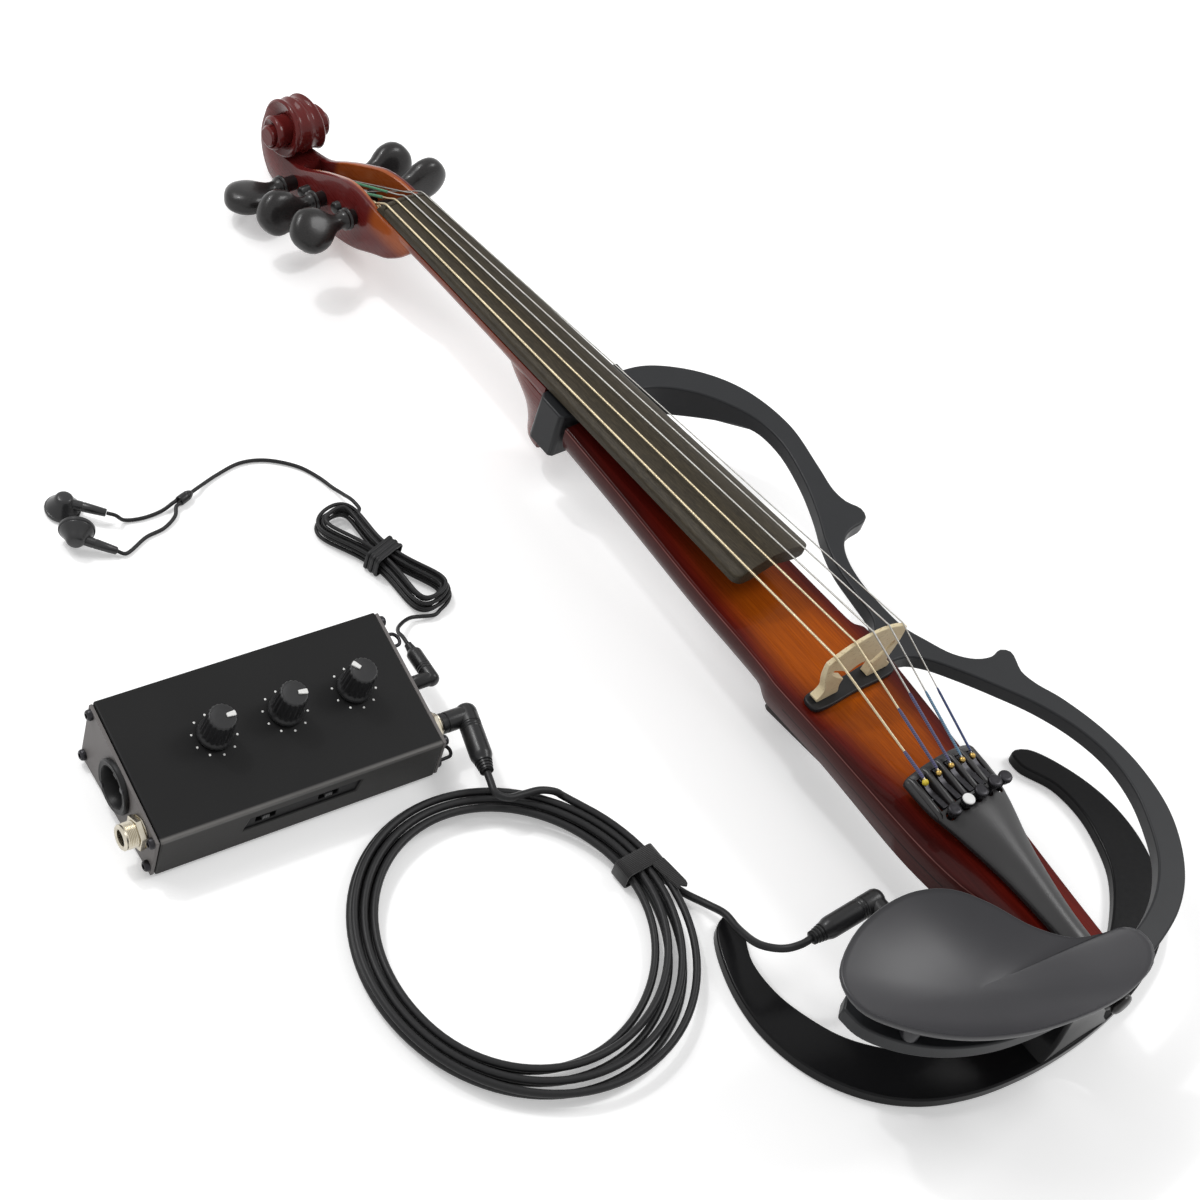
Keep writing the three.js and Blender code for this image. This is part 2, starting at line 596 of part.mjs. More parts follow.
// Tail cord: one loop from a pocket under the tailpiece, over the tail and round the end button
const BUTTON_HEIGHT = -9;
const NECK_RADIUS = 3.2; // the button's neck, where the cord lies
function tailCord() {
  const side = [[3.2, -145.4, 2.9], [4.2, -149.5, CORD_HEIGHT], [4.3, -158.4, CORD_HEIGHT - 0.1],
    [4.7, -166, -0.8], [5, -171.2, -2.9], [5, -174, -6.6], [4.9, -174.2, -10], [3.4, -174.2, -13.2]];
  const mirrored = side.map(([x, y, z]) => [-x, y, z]).reverse();
  return [[0, -144.6, 3.1], ...side, [0, -174.2, -14.4], ...mirrored].map((p) => vec(...p));
}

// Closed round tube through a ring of points
function hoop(points, radius, sides, count) {
  const path = new THREE.CatmullRomCurve3(points, true);
  const frames = path.computeFrenetFrames(count, true);
  const positions = [];
  const index = [];
  for (let k = 0; k < count; k += 1) {
    const p = path.getPointAt(k / count);
    for (let j = 0; j < sides; j += 1) {
      const t = (2 * Math.PI * j) / sides;
      const q = p.clone().addScaledVector(frames.normals[k], radius * Math.cos(t))
        .addScaledVector(frames.binormals[k], radius * Math.sin(t));
      positions.push(q.x, q.y, q.z);
      const a = k * sides + j;
      const b = k * sides + ((j + 1) % sides);
      const c = ((k + 1) % count) * sides + j;
      const d = ((k + 1) % count) * sides + ((j + 1) % sides);
      index.push(a, b, d, a, d, c);
    }
  }
  const geometry = new THREE.BufferGeometry();
  geometry.setAttribute('position', new THREE.Float32BufferAttribute(positions, 3));
  geometry.setIndex(index);
  return clean(geometry);
}

// Chin rest: a dished cup beside the tail, with a tongue that crosses it
const CUP_CENTRE = [-74, -131];
const CUP_OUTLINE = [[-113, -114], [-97, -103], [-78, -99], [-60, -100.5], [-45, -107], [-33, -119],
  [-23, -135], [-13, -146], [0, -152.5], [9, -156], [14, -161], [14, -168], [7, -173.5], [-8, -176.5],
  [-27, -177], [-48, -174.5], [-70, -168.5], [-90, -158], [-106, -144], [-116, -128]];

function chinRest() {
  const rim = spline(CUP_OUTLINE, 26);
  const [cx, cy] = CUP_CENTRE;
  const rimHeight = (x, y) => lerp(21, 15.5, smoothstep(x, -50, -5)) + 2.5 * smoothstep(-y, 130, 175);
  const floorHeight = (x) => lerp(12.5, 15, smoothstep(x, -50, -10));
  const level = (share, height) => rim.map(([x, y]) => {
    const px = lerp(cx, x, share);
    const py = lerp(cy, y, share);
    return vec(px, py, height(x, y, px));
  });
  const dish = (share) => level(share, (x, y, px) => {
    const k = share ** 2.2;
    return lerp(floorHeight(px), rimHeight(x, y), k);
  });
  const belly = (share) => level(share, (x, y, px) => {
    const k = share ** 3;
    return lerp(floorHeight(px) - 4.5, rimHeight(x, y) - 3.6, k);
  });
  const edge = level(1, (x, y) => rimHeight(x, y) - 1.4);
  const under = [0.12, 0.6, 0.88, 0.975].map(belly);
  const over = [0.985, 0.86, 0.6, 0.2].map(dish);
  const cup = loft([...under, edge, ...over]);
  const posts = [[-62, -158], [-93, -141.5]].map(([x, y]) =>
    place(rod(4, FRAME_TOP + SEAT_GAP, 11, 10), x, y, 0));
  return join(cup, ...posts);
}

// Upper frame: a yoke at the neck, the treble wing, the waist lug, and a bass arm at the tail
function upperFrame() {
  const outer = [[20, 195.6], [34, 197.3], [49, 194], [69, 180], [82, 161], [87, 134], [82, 107],
    [78.6, 92], [79.3, 84], [83, 77], [81.5, 72], [77, 70], [71, 69.6], [65, 67.8], [59.5, 63.5],
    [55, 55.5], [52, 44], [51, 29], [52, 14], [56, 4], [62, -8], [70, -15.4], [78, -18], [84.5, -17],
    [88.5, -20.4], [87, -25.6], [84.8, -31], [86, -39], [91, -51], [96, -72], [97, -94], [92, -118],
    [82, -136], [69, -150], [55, -159], [40, -164.6], [22, -168.8], [0, -170.6], [-24, -170.2],
    [-46, -167.6], [-66, -162.6], [-85, -153.4], [-99, -141.6], [-107.4, -129], [-108.6, -119]];
  const inner = [[-103, -114.6], [-97.6, -118.4], [-93, -127], [-84, -137.4], [-72, -145.4],
    [-58, -150.6], [-42, -154.2], [-22, -157.6], [-14, -158.6]];
  const innerTreble = [[14, -158.6], [26, -156.6], [41, -152.4], [54, -146], [66.5, -135.6],
    [76.6, -121], [84.4, -104], [87.4, -86], [85, -67.6], [78, -49], [68, -32], [58, -17], [49.4, -6],
    [42, 0], [33, 2], [30.1, 2.4]];
  const innerWaist = [[31.35, 16], [37, 18.6], [42, 25.4], [44.4, 38], [47.4, 55], [53.2, 70],
    [61.4, 85], [69.6, 104], [75.2, 126], [74.2, 142], [67.4, 157], [57, 170.4], [44, 180],
    [30, 184.4], [20, 185]];
  const rim = [...spline(outer, 54, false), ...spline(inner, 8, false),
    ...spline(innerTreble, 18, false), ...spline(innerWaist, 18, false)];
  const wing = plate(outline(rim), FRAME_TOP - FRAME_THICKNESS, FRAME_THICKNESS, 1.1);
  // The underside deepens towards the yoke
  const position = wing.attributes.position;
  for (let i = 0; i < position.count; i += 1) {
    const [x, y, z] = [position.getX(i), position.getY(i), position.getZ(i)];
    const share = smoothstep(y, 138, 180) * (z < FRAME_TOP - FRAME_THICKNESS + 2 ? 1 : 0);
    position.setZ(i, z - 10.5 * share * (x > 0 ? 1 : 0));
  }
  const yoke = plate(outline([[-23.5, 176], [-21, 176], [23, 176], [26, 179], [26, 195.7], [-20.5, 195.7],
    [-23.5, 193]]), -24, 29.2, 0.8);
  const window = block(-8.3, 8.3, 170, 200, -13.3, -2.7);
  return cut(join(yoke, wing), window, buttonHole());
}

// Lower frame: the flat bow that a shoulder rest clamps to, on a riser at the tail
function lowerFrame() {
  const outer = [[89, -46.5], [97, -49], [108, -70], [112, -95], [107, -120], [94, -141], [76, -156],
    [53, -165.5], [27, -170.5]];
  const inner = [[27, -152], [50, -145], [69, -132.6], [84, -117], [92, -100], [95.4, -86], [94.6, -70],
    [87.4, -54]];
  const mirror = (points) => points.map(([x, y]) => [-x, y]).reverse();
  const around = [...outer, [0, -172], ...mirror(outer), ...mirror(inner), [0, -154], ...inner];
  const shifted = around.map(([x, y]) => [x + REST_CENTRE_X, y]);
  const bow = plate(outline(spline(shifted, 56)), -STAND_HEIGHT, REST_THICKNESS, 0.9);
  const top = FRAME_TOP - FRAME_THICKNESS - SEAT_GAP;
  // height, half width, back, front
  const levels = [[-STAND_HEIGHT + 3, 24, -171, -157], [-42, 17, -170.5, -158.6], [-28, 15, -169.5, -158.8],
    [top, 17, -169.5, -159]];
  const riser = loft(levels.map(([z, half, back, front]) =>
    [[half, front], [half, back + 2], [half - 2, back], [-half + 2, back], [-half, back + 2], [-half, front]]
      .map(([x, y]) => vec(x, y, z))));
  return join(bow, riser);
}

// End button, pushed through the frame into the body; its axis runs to the tail
const BUTTON_SHANK = 2.2;
const SHANK_END = -22;
const endButton = () => place(turned([[0, SHANK_END], [BUTTON_SHANK, SHANK_END], [BUTTON_SHANK, 0.8],
  [NECK_RADIUS, 0.8], [NECK_RADIUS, 3.8], [6.6, 4.6], [7.2, 6.4], [6.4, 8.4], [3, 9.4], [0, 9.4]], 10),
  0, -172, BUTTON_HEIGHT, 90);
const buttonHole = () =>
  place(rod(BUTTON_SHANK + SEAT_GAP, SHANK_END - 0.4, 4, 10), 0, -172, BUTTON_HEIGHT, 90);

add(violin, 'neck_and_scroll', neck(), finish(0x5a160c, 0.2));
add(violin, 'fingerboard', fingerboard(), finish(0x15110f, 0.45));
add(violin, 'nut', nut(), finish(0x120f0d, 0.5));
add(violin, 'body', body(), finish(0x7a2408, 0.18));
add(violin, 'back_cover', backCover(), finish(0x101010, 0.5));
add(violin, 'jack_housing', jackHousing(), finish(0x121212, 0.5));
add(violin, 'bridge_base', bridgeBase(), finish(0x0d0d0d, 0.5));
add(violin, 'bridge', bridge(), finish(0xd9c09a, 0.6));
add(violin, 'tailpiece', tailpiece(), finish(0x161616, 0.45));
add(violin, 'tail_cord', hoop(tailCord(), 1.1, 6, 26), finish(0x0b0b0b, 0.6));
add(violin, 'end_button', endButton(), finish(0x101010, 0.4));
add(violin, 'chin_rest', chinRest(), finish(0x2a2a2d, 0.6));
add(violin, 'upper_frame', upperFrame(), finish(0x26262a, 0.5));
add(violin, 'lower_frame', lowerFrame(), finish(0x0c0c0c, 0.45));
PEG_STATIONS.forEach((y, i) => {
  const mesh = add(violin, `peg_${i + 1}`, peg(PEG_TURNS[i]), finish(0x141314, 0.3));
  mesh.position.set(0, y, pegHeight(y));
  if (PEG_SIDES[i] < 0) mesh.rotation.z = Math.PI;
});
STRING_RADII.forEach((_, i) => {
  add(violin, `string_${i + 1}`, string(i), finish(0xc9c2b4, 0.3, 0.9));
  add(violin, `tuner_screw_${i + 1}`, tunerScrew(i), finish(0x1a1a1a, 0.3, 0.6));
});

// Control box. Its own frame: X along the box to the plug end, Y to the back, Z up from the table
const PANEL_SLOPE = Math.atan((BOX_BACK_HEIGHT - BOX_FRONT_HEIGHT) / BOX_WIDTH);
const panelHeight = (y) => (BOX_BACK_HEIGHT + BOX_FRONT_HEIGHT) / 2 + y * Math.tan(PANEL_SLOPE);
const END_THICKNESS = 1.6;
const SHELL_HALF = BOX_LENGTH / 2 - END_THICKNESS - SEAT_GAP;
const END_FACE = BOX_LENGTH / 2; // outer face of an end plate
const XLR = [2.7, 17.6];
const LINE_JACK = [-20, 16.5];
const INPUT_JACK = [-19, 16.5];
const PHONES_JACK = [4, 17];

// A revolved profile lying along X; positive heights point to +X
const lengthwise = (profile, sides, y, z) => place(turned(profile, sides), 0, y, z, 0, 90);

const BOX_HALF = BOX_WIDTH / 2;
const BOX_INSIDE = BOX_HALF - BOX_WALL;

function boxShell() {
  const edge = (y, drop = 0) => [y, panelHeight(y) - drop];
  const fold = outline([[-BOX_HALF, BOX_FOOT], edge(-BOX_HALF, 1), edge(-BOX_HALF + 0.9),
    edge(BOX_HALF - 0.9), edge(BOX_HALF, 1), [BOX_HALF, BOX_FOOT], [BOX_INSIDE, BOX_FOOT],
    edge(BOX_INSIDE, BOX_WALL),
    edge(-BOX_INSIDE, BOX_WALL), [-BOX_INSIDE, BOX_FOOT]]);
  const shell = endwise(fold, -SHELL_HALF, SHELL_HALF);
  const backing = block(-30, 30, -BOX_INSIDE - 0.3, -BOX_INSIDE + 1.6, 8.8, 20);
  const recess = place(new THREE.ExtrudeGeometry(outline([[-27, 11], [25, 11], [27, 18.4], [-24.6, 18.4]]),
    { depth: 3, bevelEnabled: false }), 0, -BOX_HALF + 1.9, 0, 90);
  const slots = SWITCHES.map((x) => block(x - 4.6, x + 4.6, -BOX_HALF, -BOX_INSIDE + 4, 13.1, 16.3));
  const knobHoles = KNOB_STATIONS.map((x) =>
    place(rod(3.6, -6, 6, 14), x, KNOB_LINE, panelHeight(KNOB_LINE), PANEL_SLOPE / RADIANS));
  return cut(join(shell, backing), recess, ...slots, ...knobHoles);
}

function boxBase() {
  const tray = block(-SHELL_HALF, SHELL_HALF, -BOX_INSIDE + SEAT_GAP, BOX_INSIDE - SEAT_GAP, BOX_FOOT, 3.1);
  const feet = [[-54, -22], [-54, 22], [54, -22], [54, 22]].map(([x, y]) =>
    place(rod(4.5, 0, 2, 10), x, y, 0));
  return join(tray, ...feet);
}

const CORNERS = [[-29.3, 5.2], [29.3, 5.2], [-29.3, 20.6], [29.3, 32]];
const END_SCREW = [[0, -0.6], [2.4, -0.6], [2.4, 1.4], [1.7, 2.2], [0, 2.2]];
function boxEnd(side, holes, ...fittings) {
  const trim = 0.4;
  const face = outline([[-BOX_HALF + trim, BOX_FOOT], [-BOX_HALF + trim, panelHeight(-BOX_HALF) - trim - 0.5],
    [BOX_HALF - trim, panelHeight(BOX_HALF) - trim - 0.5], [BOX_HALF - trim, BOX_FOOT]]);
  const [x0, x1] = side < 0 ? [-END_FACE, -END_FACE + END_THICKNESS] : [END_FACE - END_THICKNESS, END_FACE];
  const cutters = holes.map(([y, z, radius]) =>
    lengthwise([[0, x0 - 1], [radius, x0 - 1], [radius, x1 + 1], [0, x1 + 1]], 16, y, z));
  const screws = CORNERS.map(([y, z]) => place(turned(END_SCREW, 8), side * END_FACE, y, z, 0, 90 * side));
  return join(cut(endwise(face, x0, x1), ...cutters), ...screws, ...fittings);
}

function strapLoop([y, z]) {
  const x = END_FACE - 0.6;
  return tube([[x, y - 4, z], [x + 4, y - 4, z], [x + 8, y - 3.4, z], [x + 9.6, y, z], [x + 8, y + 3.4, z],
    [x + 4, y + 4, z], [x, y + 4, z]], 0.9, 6, 8);
}
const STRAP_LOOPS = [[23, 25], [-27.7, 8.8]];

// Balanced output socket with its three pins
const PIN_CIRCLE = 4.4; // radius of the circle they stand on
function xlrSocket() {
  const face = -END_FACE - SEAT_GAP;
  const can = lengthwise([[0, face + 17], [10.2, face + 17], [10.2, face], [12, face], [12, face - 1.4],
    [11.4, face - 2], [0, face - 2]], 18, ...XLR);
  const bore = lengthwise([[0, face - 3], [8.8, face - 3], [8.8, face + 13], [0, face + 13]], 10, ...XLR);
  const pin = [[0, face + 4], [1, face + 4], [1.2, face + 5], [1.2, face + 14], [0, face + 14]];
  const pins = [90, 210, 330].map((turn) => lengthwise(pin, 6,
    XLR[0] + PIN_CIRCLE * Math.cos(turn * RADIANS), XLR[1] + PIN_CIRCLE * Math.sin(turn * RADIANS)));
  return join(cut(can, bore), ...pins);
}

// Threaded jack bush with its washer and nut; it sticks out by reach and runs in by depth
function boxJack([y, z], side, { reach, depth, bore, bush }) {
  const face = END_FACE + SEAT_GAP;
  const inside = END_FACE - END_THICKNESS - SEAT_GAP;
  const nutHeight = Math.min(3, reach * 0.6);
  const ring = turned([[0, inside - depth], [5.8, inside - depth], [5.8, inside], [bush, inside],
    [bush, face], [bush + 1.6, face], [bush + 1.6, face + 0.5], [bush, face + 0.5],
    [bush, face + reach - 0.6],
    [bush - 0.6, face + reach], [0, face + reach]], 12);
  const hex = turned([[0, face + 0.3], [bush + 1.9, face + 0.3], [bush + 1.9, face + nutHeight],
    [0, face + nutHeight]], 6);
  const hole = rod(bore, inside - depth - 1, face + reach + 1, 10);
  return place(cut(join(ring, hex), hole), 0, y, z, 0, 90 * side);
}

const LINE = { reach: 9, depth: 20, bore: 3.5, bush: 5.6 };
const INPUT = { reach: 4.4, depth: 20, bore: 3.5, bush: 5.6 };
const PHONES = { reach: 1.6, depth: 14, bore: 2.1, bush: 3.6 };

// Knob: a flared skirt and a fluted cap with a raised pointer; its own Z is the shaft
function knob() {
  // height, radius, flute depth
  const levels = [[0.5, 8.3, 0], [1.2, 8.9, 0], [2.4, 8.9, 0], [3.6, 6.9, 0.45],
    [15, 6.2, 0.45], [16.2, 5.3, 0.2]];
  const body = loft(levels.map(([z, radius, flute]) => Array.from({ length: 18 }, (_, i) => {
    const t = (2 * Math.PI * i) / 18;
    const r = radius - (i % 2) * flute;
    return vec(r * Math.cos(t), r * Math.sin(t), z);
  })));
  const shaft = rod(3, -2.4, 1, 8);
  const pointer = block(1.6, 5.8, -0.9, 0.9, 15.6, 16.7);
  return join(body, shaft, pointer);
}

// The board hangs under the panel from the three control pots
function circuitBoard() {
  const board = block(-44, 44, -23, 23, -13.2, -11.6);
  const pots = KNOB_STATIONS.map((x) => place(rod(7.4, -11.8, -2.8, 10), x, KNOB_LINE, 0));
  const parts = [[-34, -15, 8, 6], [-12, -15, 12, 9], [16, -14, 9, 9], [30, -16, 6, 5], [-8, 17, 14, 5]]
    .map(([x, y, length, width]) => block(x, x + length, y, y + width, -11.8, -8.6));
  return join(board, ...pots, ...parts);
}

// Four cells in a shallow holder on the base
const CELL_RADIUS = 5.2;
function batteryPack() {
  const cell = [[0, -22], [CELL_RADIUS, -22], [CELL_RADIUS, 21], [1.9, 21], [1.9, 22], [0, 22]];
  const cells = [[-23, -3], [-23, 9], [23, -3], [23, 9]].map(([x, y]) =>
    place(lengthwise(cell, 8, y, 4.6 + CELL_RADIUS), x, 0, 0));
  return join(block(-47, 47, -9, 15, 3.4, 7), ...cells);
}

const SWITCHES = [-17, 12];
const switchSlider = () => join(block(-1.7, 1.7, -BOX_HALF + 0.5, -BOX_INSIDE + 2.2, 13.6, 15.8),
  block(-2.6, 2.6, -BOX_INSIDE + 1.9, -BOX_INSIDE + 3.4, 12.4, 17));

const black = (roughness = 0.45) => finish(0x121213, roughness);
const knobPointers = [-10, -20, 126]; // where each pointer stands at rest, in degrees
const panel = new THREE.Group();
panel.position.z = panelHeight(0);
panel.rotation.x = PANEL_SLOPE;
box.add(panel);

add(box, 'box_shell', boxShell(), black(0.4));
add(box, 'box_base', boxBase(), black(0.6));
add(box, 'box_end_left', boxEnd(-1, [[...XLR, 10.5], [...LINE_JACK, 5.9]]), black(0.5));
add(box, 'box_end_right', boxEnd(1, [[...INPUT_JACK, 5.9], [...PHONES_JACK, 4]],
  ...STRAP_LOOPS.map(strapLoop)), black(0.5));
add(box, 'xlr_socket', xlrSocket(), finish(0x1a1a1a, 0.4));
add(box, 'line_jack', boxJack(LINE_JACK, -1, LINE), finish(0xb9ad93, 0.3, 1));
add(box, 'input_jack', boxJack(INPUT_JACK, 1, INPUT), finish(0xb9ad93, 0.3, 1));
add(box, 'phones_jack', boxJack(PHONES_JACK, 1, PHONES), finish(0x2a2a2a, 0.4));
add(panel, 'circuit_board', circuitBoard(), finish(0x1d4a2a, 0.6));
add(box, 'battery_pack', batteryPack(), finish(0x8a8d90, 0.4, 0.5));
['bass_knob', 'treble_knob', 'volume_knob'].forEach((name, i) => {
  const mesh = add(panel, name, knob(), finish(0x151515, 0.5));
  mesh.position.set(KNOB_STATIONS[i], KNOB_LINE, 0);
  mesh.rotation.z = knobPointers[i] * RADIANS;
});
SWITCHES.forEach((x, i) => {
  add(box, `switch_${i + 1}`, switchSlider(), finish(0x1f1f1f, 0.5)).position.x = x;
});

// Right-angle plugs. The pin points to -X, the elbow is at the origin and the barrel runs near +Y.
function rightAnglePlug({ pin, pinRadius, leg, barrel, radius, boot, lean }) {
  const sides = 9;
  const stem = lengthwise([[0, -pin - leg], [pinRadius * 0.5, -pin - leg], [pinRadius, -pin - leg + 1.5],
    [pinRadius, -leg], [radius * 0.94, -leg], [radius * 0.94, radius * 0.4], [radius * 0.6, radius * 0.85],
    [0, radius * 0.85]], sides, 0, 0);
  const sleeve = turned([[0, -radius], [radius * 0.6, -radius], [radius, -radius * 0.5],
    [radius, barrel * 0.74], [boot * 1.2, barrel * 0.84], [boot, barrel], [0, barrel]], sides);
  const turn = new THREE.Quaternion().setFromUnitVectors(vec(0, 0, 1), vec(...lean).normalize());
  return join(stem, sleeve.applyQuaternion(turn));
}

const CABLE_PLUG = { pinRadius: 3.1, radius: 4.9, boot: 3 };
const VIOLIN_PLUG = { ...CABLE_PLUG, pin: 27, leg: 17.5, barrel: 33, lean: [0.03, 1, -0.12] };
const BOX_PLUG = { ...CABLE_PLUG, pin: 22, leg: 14, barrel: 30, lean: [-0.235, 0.972, 0] };
const PHONES_PLUG = {
  pin: 12, pinRadius: 1.7, leg: 12, barrel: 21, radius: 3.5, boot: 1.7, lean: [0.05, 1, -0.1],
};

const violinPlug = add(leads, 'violin_plug', rightAnglePlug(VIOLIN_PLUG), black(0.35));
violinPlug.position.set(JACK[0], JACK[1] + JACK_COLLAR + SEAT_GAP + VIOLIN_PLUG.leg, JACK[2] + STAND_HEIGHT);
violinPlug.rotation.z = Math.PI / 2;
const boxPlug = add(box, 'box_plug', rightAnglePlug(BOX_PLUG), black(0.35));
boxPlug.position.set(END_FACE + 2 * SEAT_GAP + INPUT.reach + BOX_PLUG.leg, ...INPUT_JACK);
boxPlug.rotation.x = Math.PI;
const phonesPlug = add(box, 'phones_plug', rightAnglePlug(PHONES_PLUG), black(0.4));
phonesPlug.position.set(END_FACE + 2 * SEAT_GAP + PHONES.reach + PHONES_PLUG.leg, ...PHONES_JACK);

// Wound cords. A route gives the cord's middle at each step; the tube follows it unbroken.
function windingTube(route, radius, sides) {
  const rings = route.map((p, k) => {
    const before = route[Math.max(k - 1, 0)];
    const after = route[Math.min(k + 1, route.length - 1)];
    const ahead = after.clone().sub(before).normalize();
    const across = ahead.clone().cross(vec(0, 0, 1)).normalize();
    return ringAround(p, across, across.clone().cross(ahead), radius, sides);
  });
  return loft(rings);
}

// Least distance between turns, less the cord's thickness
function leastGap(route, radius, stepsPerLoop) {
  let least = Infinity;
  for (let i = 0; i < route.length; i += 1) {
    for (let j = i + Math.round(stepsPerLoop / 3); j + 1 < route.length; j += 1) {
      const line = new THREE.Line3(route[j], route[j + 1]);
      const near = line.closestPointToPoint(route[i], true, vec(0, 0, 0));
      least = Math.min(least, near.distanceTo(route[i]) - 2 * radius);
    }
  }
  return least;
}

const LOOP_STEPS = 24;

// Straight ends, one diameter long
function withEnds(route, radius) {
  const stretch = (end, next) => end.clone().addScaledVector(end.clone().sub(next).normalize(), 2 * radius);
  const last = route.length - 1;
  return [stretch(route[0], route[1]), ...route, stretch(route[last], route[last - 1])];
}

// Depth in from the outermost loop, and layer, when piled layers spiral in and out again
function pile(n, turnings, climb) {
  let depth = n;
  let layer = 0;
  turnings.forEach((turning, k) => {
    depth += (k % 2 ? 2 : -2) * Math.max(0, n - turning);
    layer += smoothstep(n, turning - climb / 2, turning + climb / 2);
  });
  return [depth, layer];
}

// Cable coil: two layers of three loops, looser at the front
const COIL_START = 4 * RADIANS;
const COIL_PITCH = 4.1;
function coilRoute() {
  const total = COIL_LOOPS + 26 / 360;
  const steps = Math.round(total * LOOP_STEPS);
  return withEnds(Array.from({ length: steps + 1 }, (_, k) => {
    const n = (total * k) / steps;
    const angle = COIL_START + 2 * Math.PI * n;
    const [depth, layer] = pile(n, [COIL_LOOPS / 2], 0.5);
    const loose = 1 + 0.75 * Math.max(0, Math.cos(angle + 75 * RADIANS)) ** 2;
    const inset = depth * COIL_PITCH * loose;
    const [a, b] = COIL_HALF_AXES;
    return vec(COIL_CENTRE[0] + (a - inset) * Math.cos(angle), COIL_CENTRE[1] + (b - inset) * Math.sin(angle),
      COIL_FLOOR + CABLE_RADIUS + COIL_PITCH * layer);
  }), CABLE_RADIUS);
}

// Earphone cord hank: loops drawn in at the waist, piled in four layers
const HANK_CENTRE = [-108, 181];
const HANK_HALF_LENGTH = 36;
const HANK_WAIST = 6.8;
const HANK_BULGE = 26; // how far the lobes swell past the waist
const HANK_PITCH = 2.42;
const HANK_FLOOR = 1.1;
const HANK_TILT = 104.5 * RADIANS;
const HANK_TURNINGS = [2.25, 4.25, 6.25];
function hankOutline(angle) {
  const s = Math.sin(angle);
  return vec(HANK_HALF_LENGTH * Math.cos(angle), s * (HANK_BULGE - (HANK_BULGE - HANK_WAIST) * s * s), 0);
}
function hankRoute() {
  const steps = Math.round(HANK_LOOPS * LOOP_STEPS);
  const upright = vec(0, 0, 1);
  const centre = vec(...HANK_CENTRE, HANK_FLOOR + PHONES_CORD_RADIUS);
  return withEnds(Array.from({ length: steps + 1 }, (_, k) => {
    const n = (HANK_LOOPS * k) / steps;
    const angle = Math.PI + 2 * Math.PI * n;
    const [depth, layer] = pile(n, HANK_TURNINGS, 0.4);
    const ahead = hankOutline(angle + 0.01).sub(hankOutline(angle - 0.01)).normalize();
    const inward = upright.clone().cross(ahead).multiplyScalar(depth * HANK_PITCH);
    const spot = hankOutline(angle).add(inward).applyAxisAngle(upright, HANK_TILT).add(centre);
    return spot.setZ(spot.z + HANK_PITCH * layer);
  }), PHONES_CORD_RADIUS);
}

const coil = coilRoute();
const hank = hankRoute();
const coilGap = leastGap(coil, CABLE_RADIUS, LOOP_STEPS);
const hankGap = leastGap(hank, PHONES_CORD_RADIUS, LOOP_STEPS);
console.log(`least gap in the cable coil: ${coilGap.toFixed(2)} mm`);
console.log(`least gap in the earphone hank: ${hankGap.toFixed(2)} mm`);
add(leads, 'cable_coil', windingTube(coil, CABLE_RADIUS, 6), black(0.5));
add(leads, 'phones_hank', windingTube(hank, PHONES_CORD_RADIUS, 6), black(0.5));

// Straps round the coil and the hank. A strap passes round a bundle that runs along Y.
function strap(halfWidth, low, high, thickness, width) {
  const ring = (grow) => {
    const [a, b, c, r] = [halfWidth + grow, low - grow, high + grow, 1 + grow];
    const right = [[a - r, b], [a, b + r], [a, c - r], [a - r, c]];
    return [...right, ...right.map(([x, y]) => [-x, y]).reverse()];
  };
  const shape = outline(ring(thickness));
  shape.holes.push(new THREE.Path(ring(0).map(([x, y]) => new THREE.Vector2(x, y))));
  const band = new THREE.ExtrudeGeometry(shape, { depth: width, bevelEnabled: false });
  return place(band, 0, width / 2, 0, 90);
}

const COIL_TOP = COIL_FLOOR + 2 * CABLE_RADIUS + COIL_PITCH;
const TIE_THICKNESS = 1.1;
function cableTie() {
  const band = strap(9.2, COIL_FLOOR - SEAT_GAP, COIL_TOP + SEAT_GAP, TIE_THICKNESS, 9);
  const tongue = outline([[3, -4], [9.4, -4], [10.6, -18], [9.2, -20.5], [7.2, -18.8], [5, -19.4]]);
  return join(band, plate(tongue, COIL_TOP + SEAT_GAP, TIE_THICKNESS));
}
add(leads, 'cable_tie', cableTie(), black(0.8)).position.set(-110.3, -8, 0);
const hankTie = add(leads, 'hank_tie', strap(HANK_WAIST + PHONES_CORD_RADIUS + SEAT_GAP, 0.8,
  HANK_FLOOR + 2 * PHONES_CORD_RADIUS + 3 * HANK_PITCH + SEAT_GAP, 0.8, 6), black(0.6));
hankTie.position.set(...HANK_CENTRE, 0);
hankTie.rotation.z = HANK_TILT - Math.PI / 2;

// Cord ends. Each gives two places in line with what the cord meets, the nearer one first.
function bootEnd(plug, { barrel, lean }) {
  set.updateMatrixWorld(true);
  const out = vec(...lean).normalize();
  return [SEAT_GAP, 5].map((d) => plug.localToWorld(out.clone().multiplyScalar(barrel + d)).toArray());
}
function windingEnd(end, next, radius) {
  const out = end.clone().sub(next).normalize();
  return [SEAT_GAP, SEAT_GAP + 4 * radius].map((d) => end.clone().addScaledVector(out, d).toArray());
}

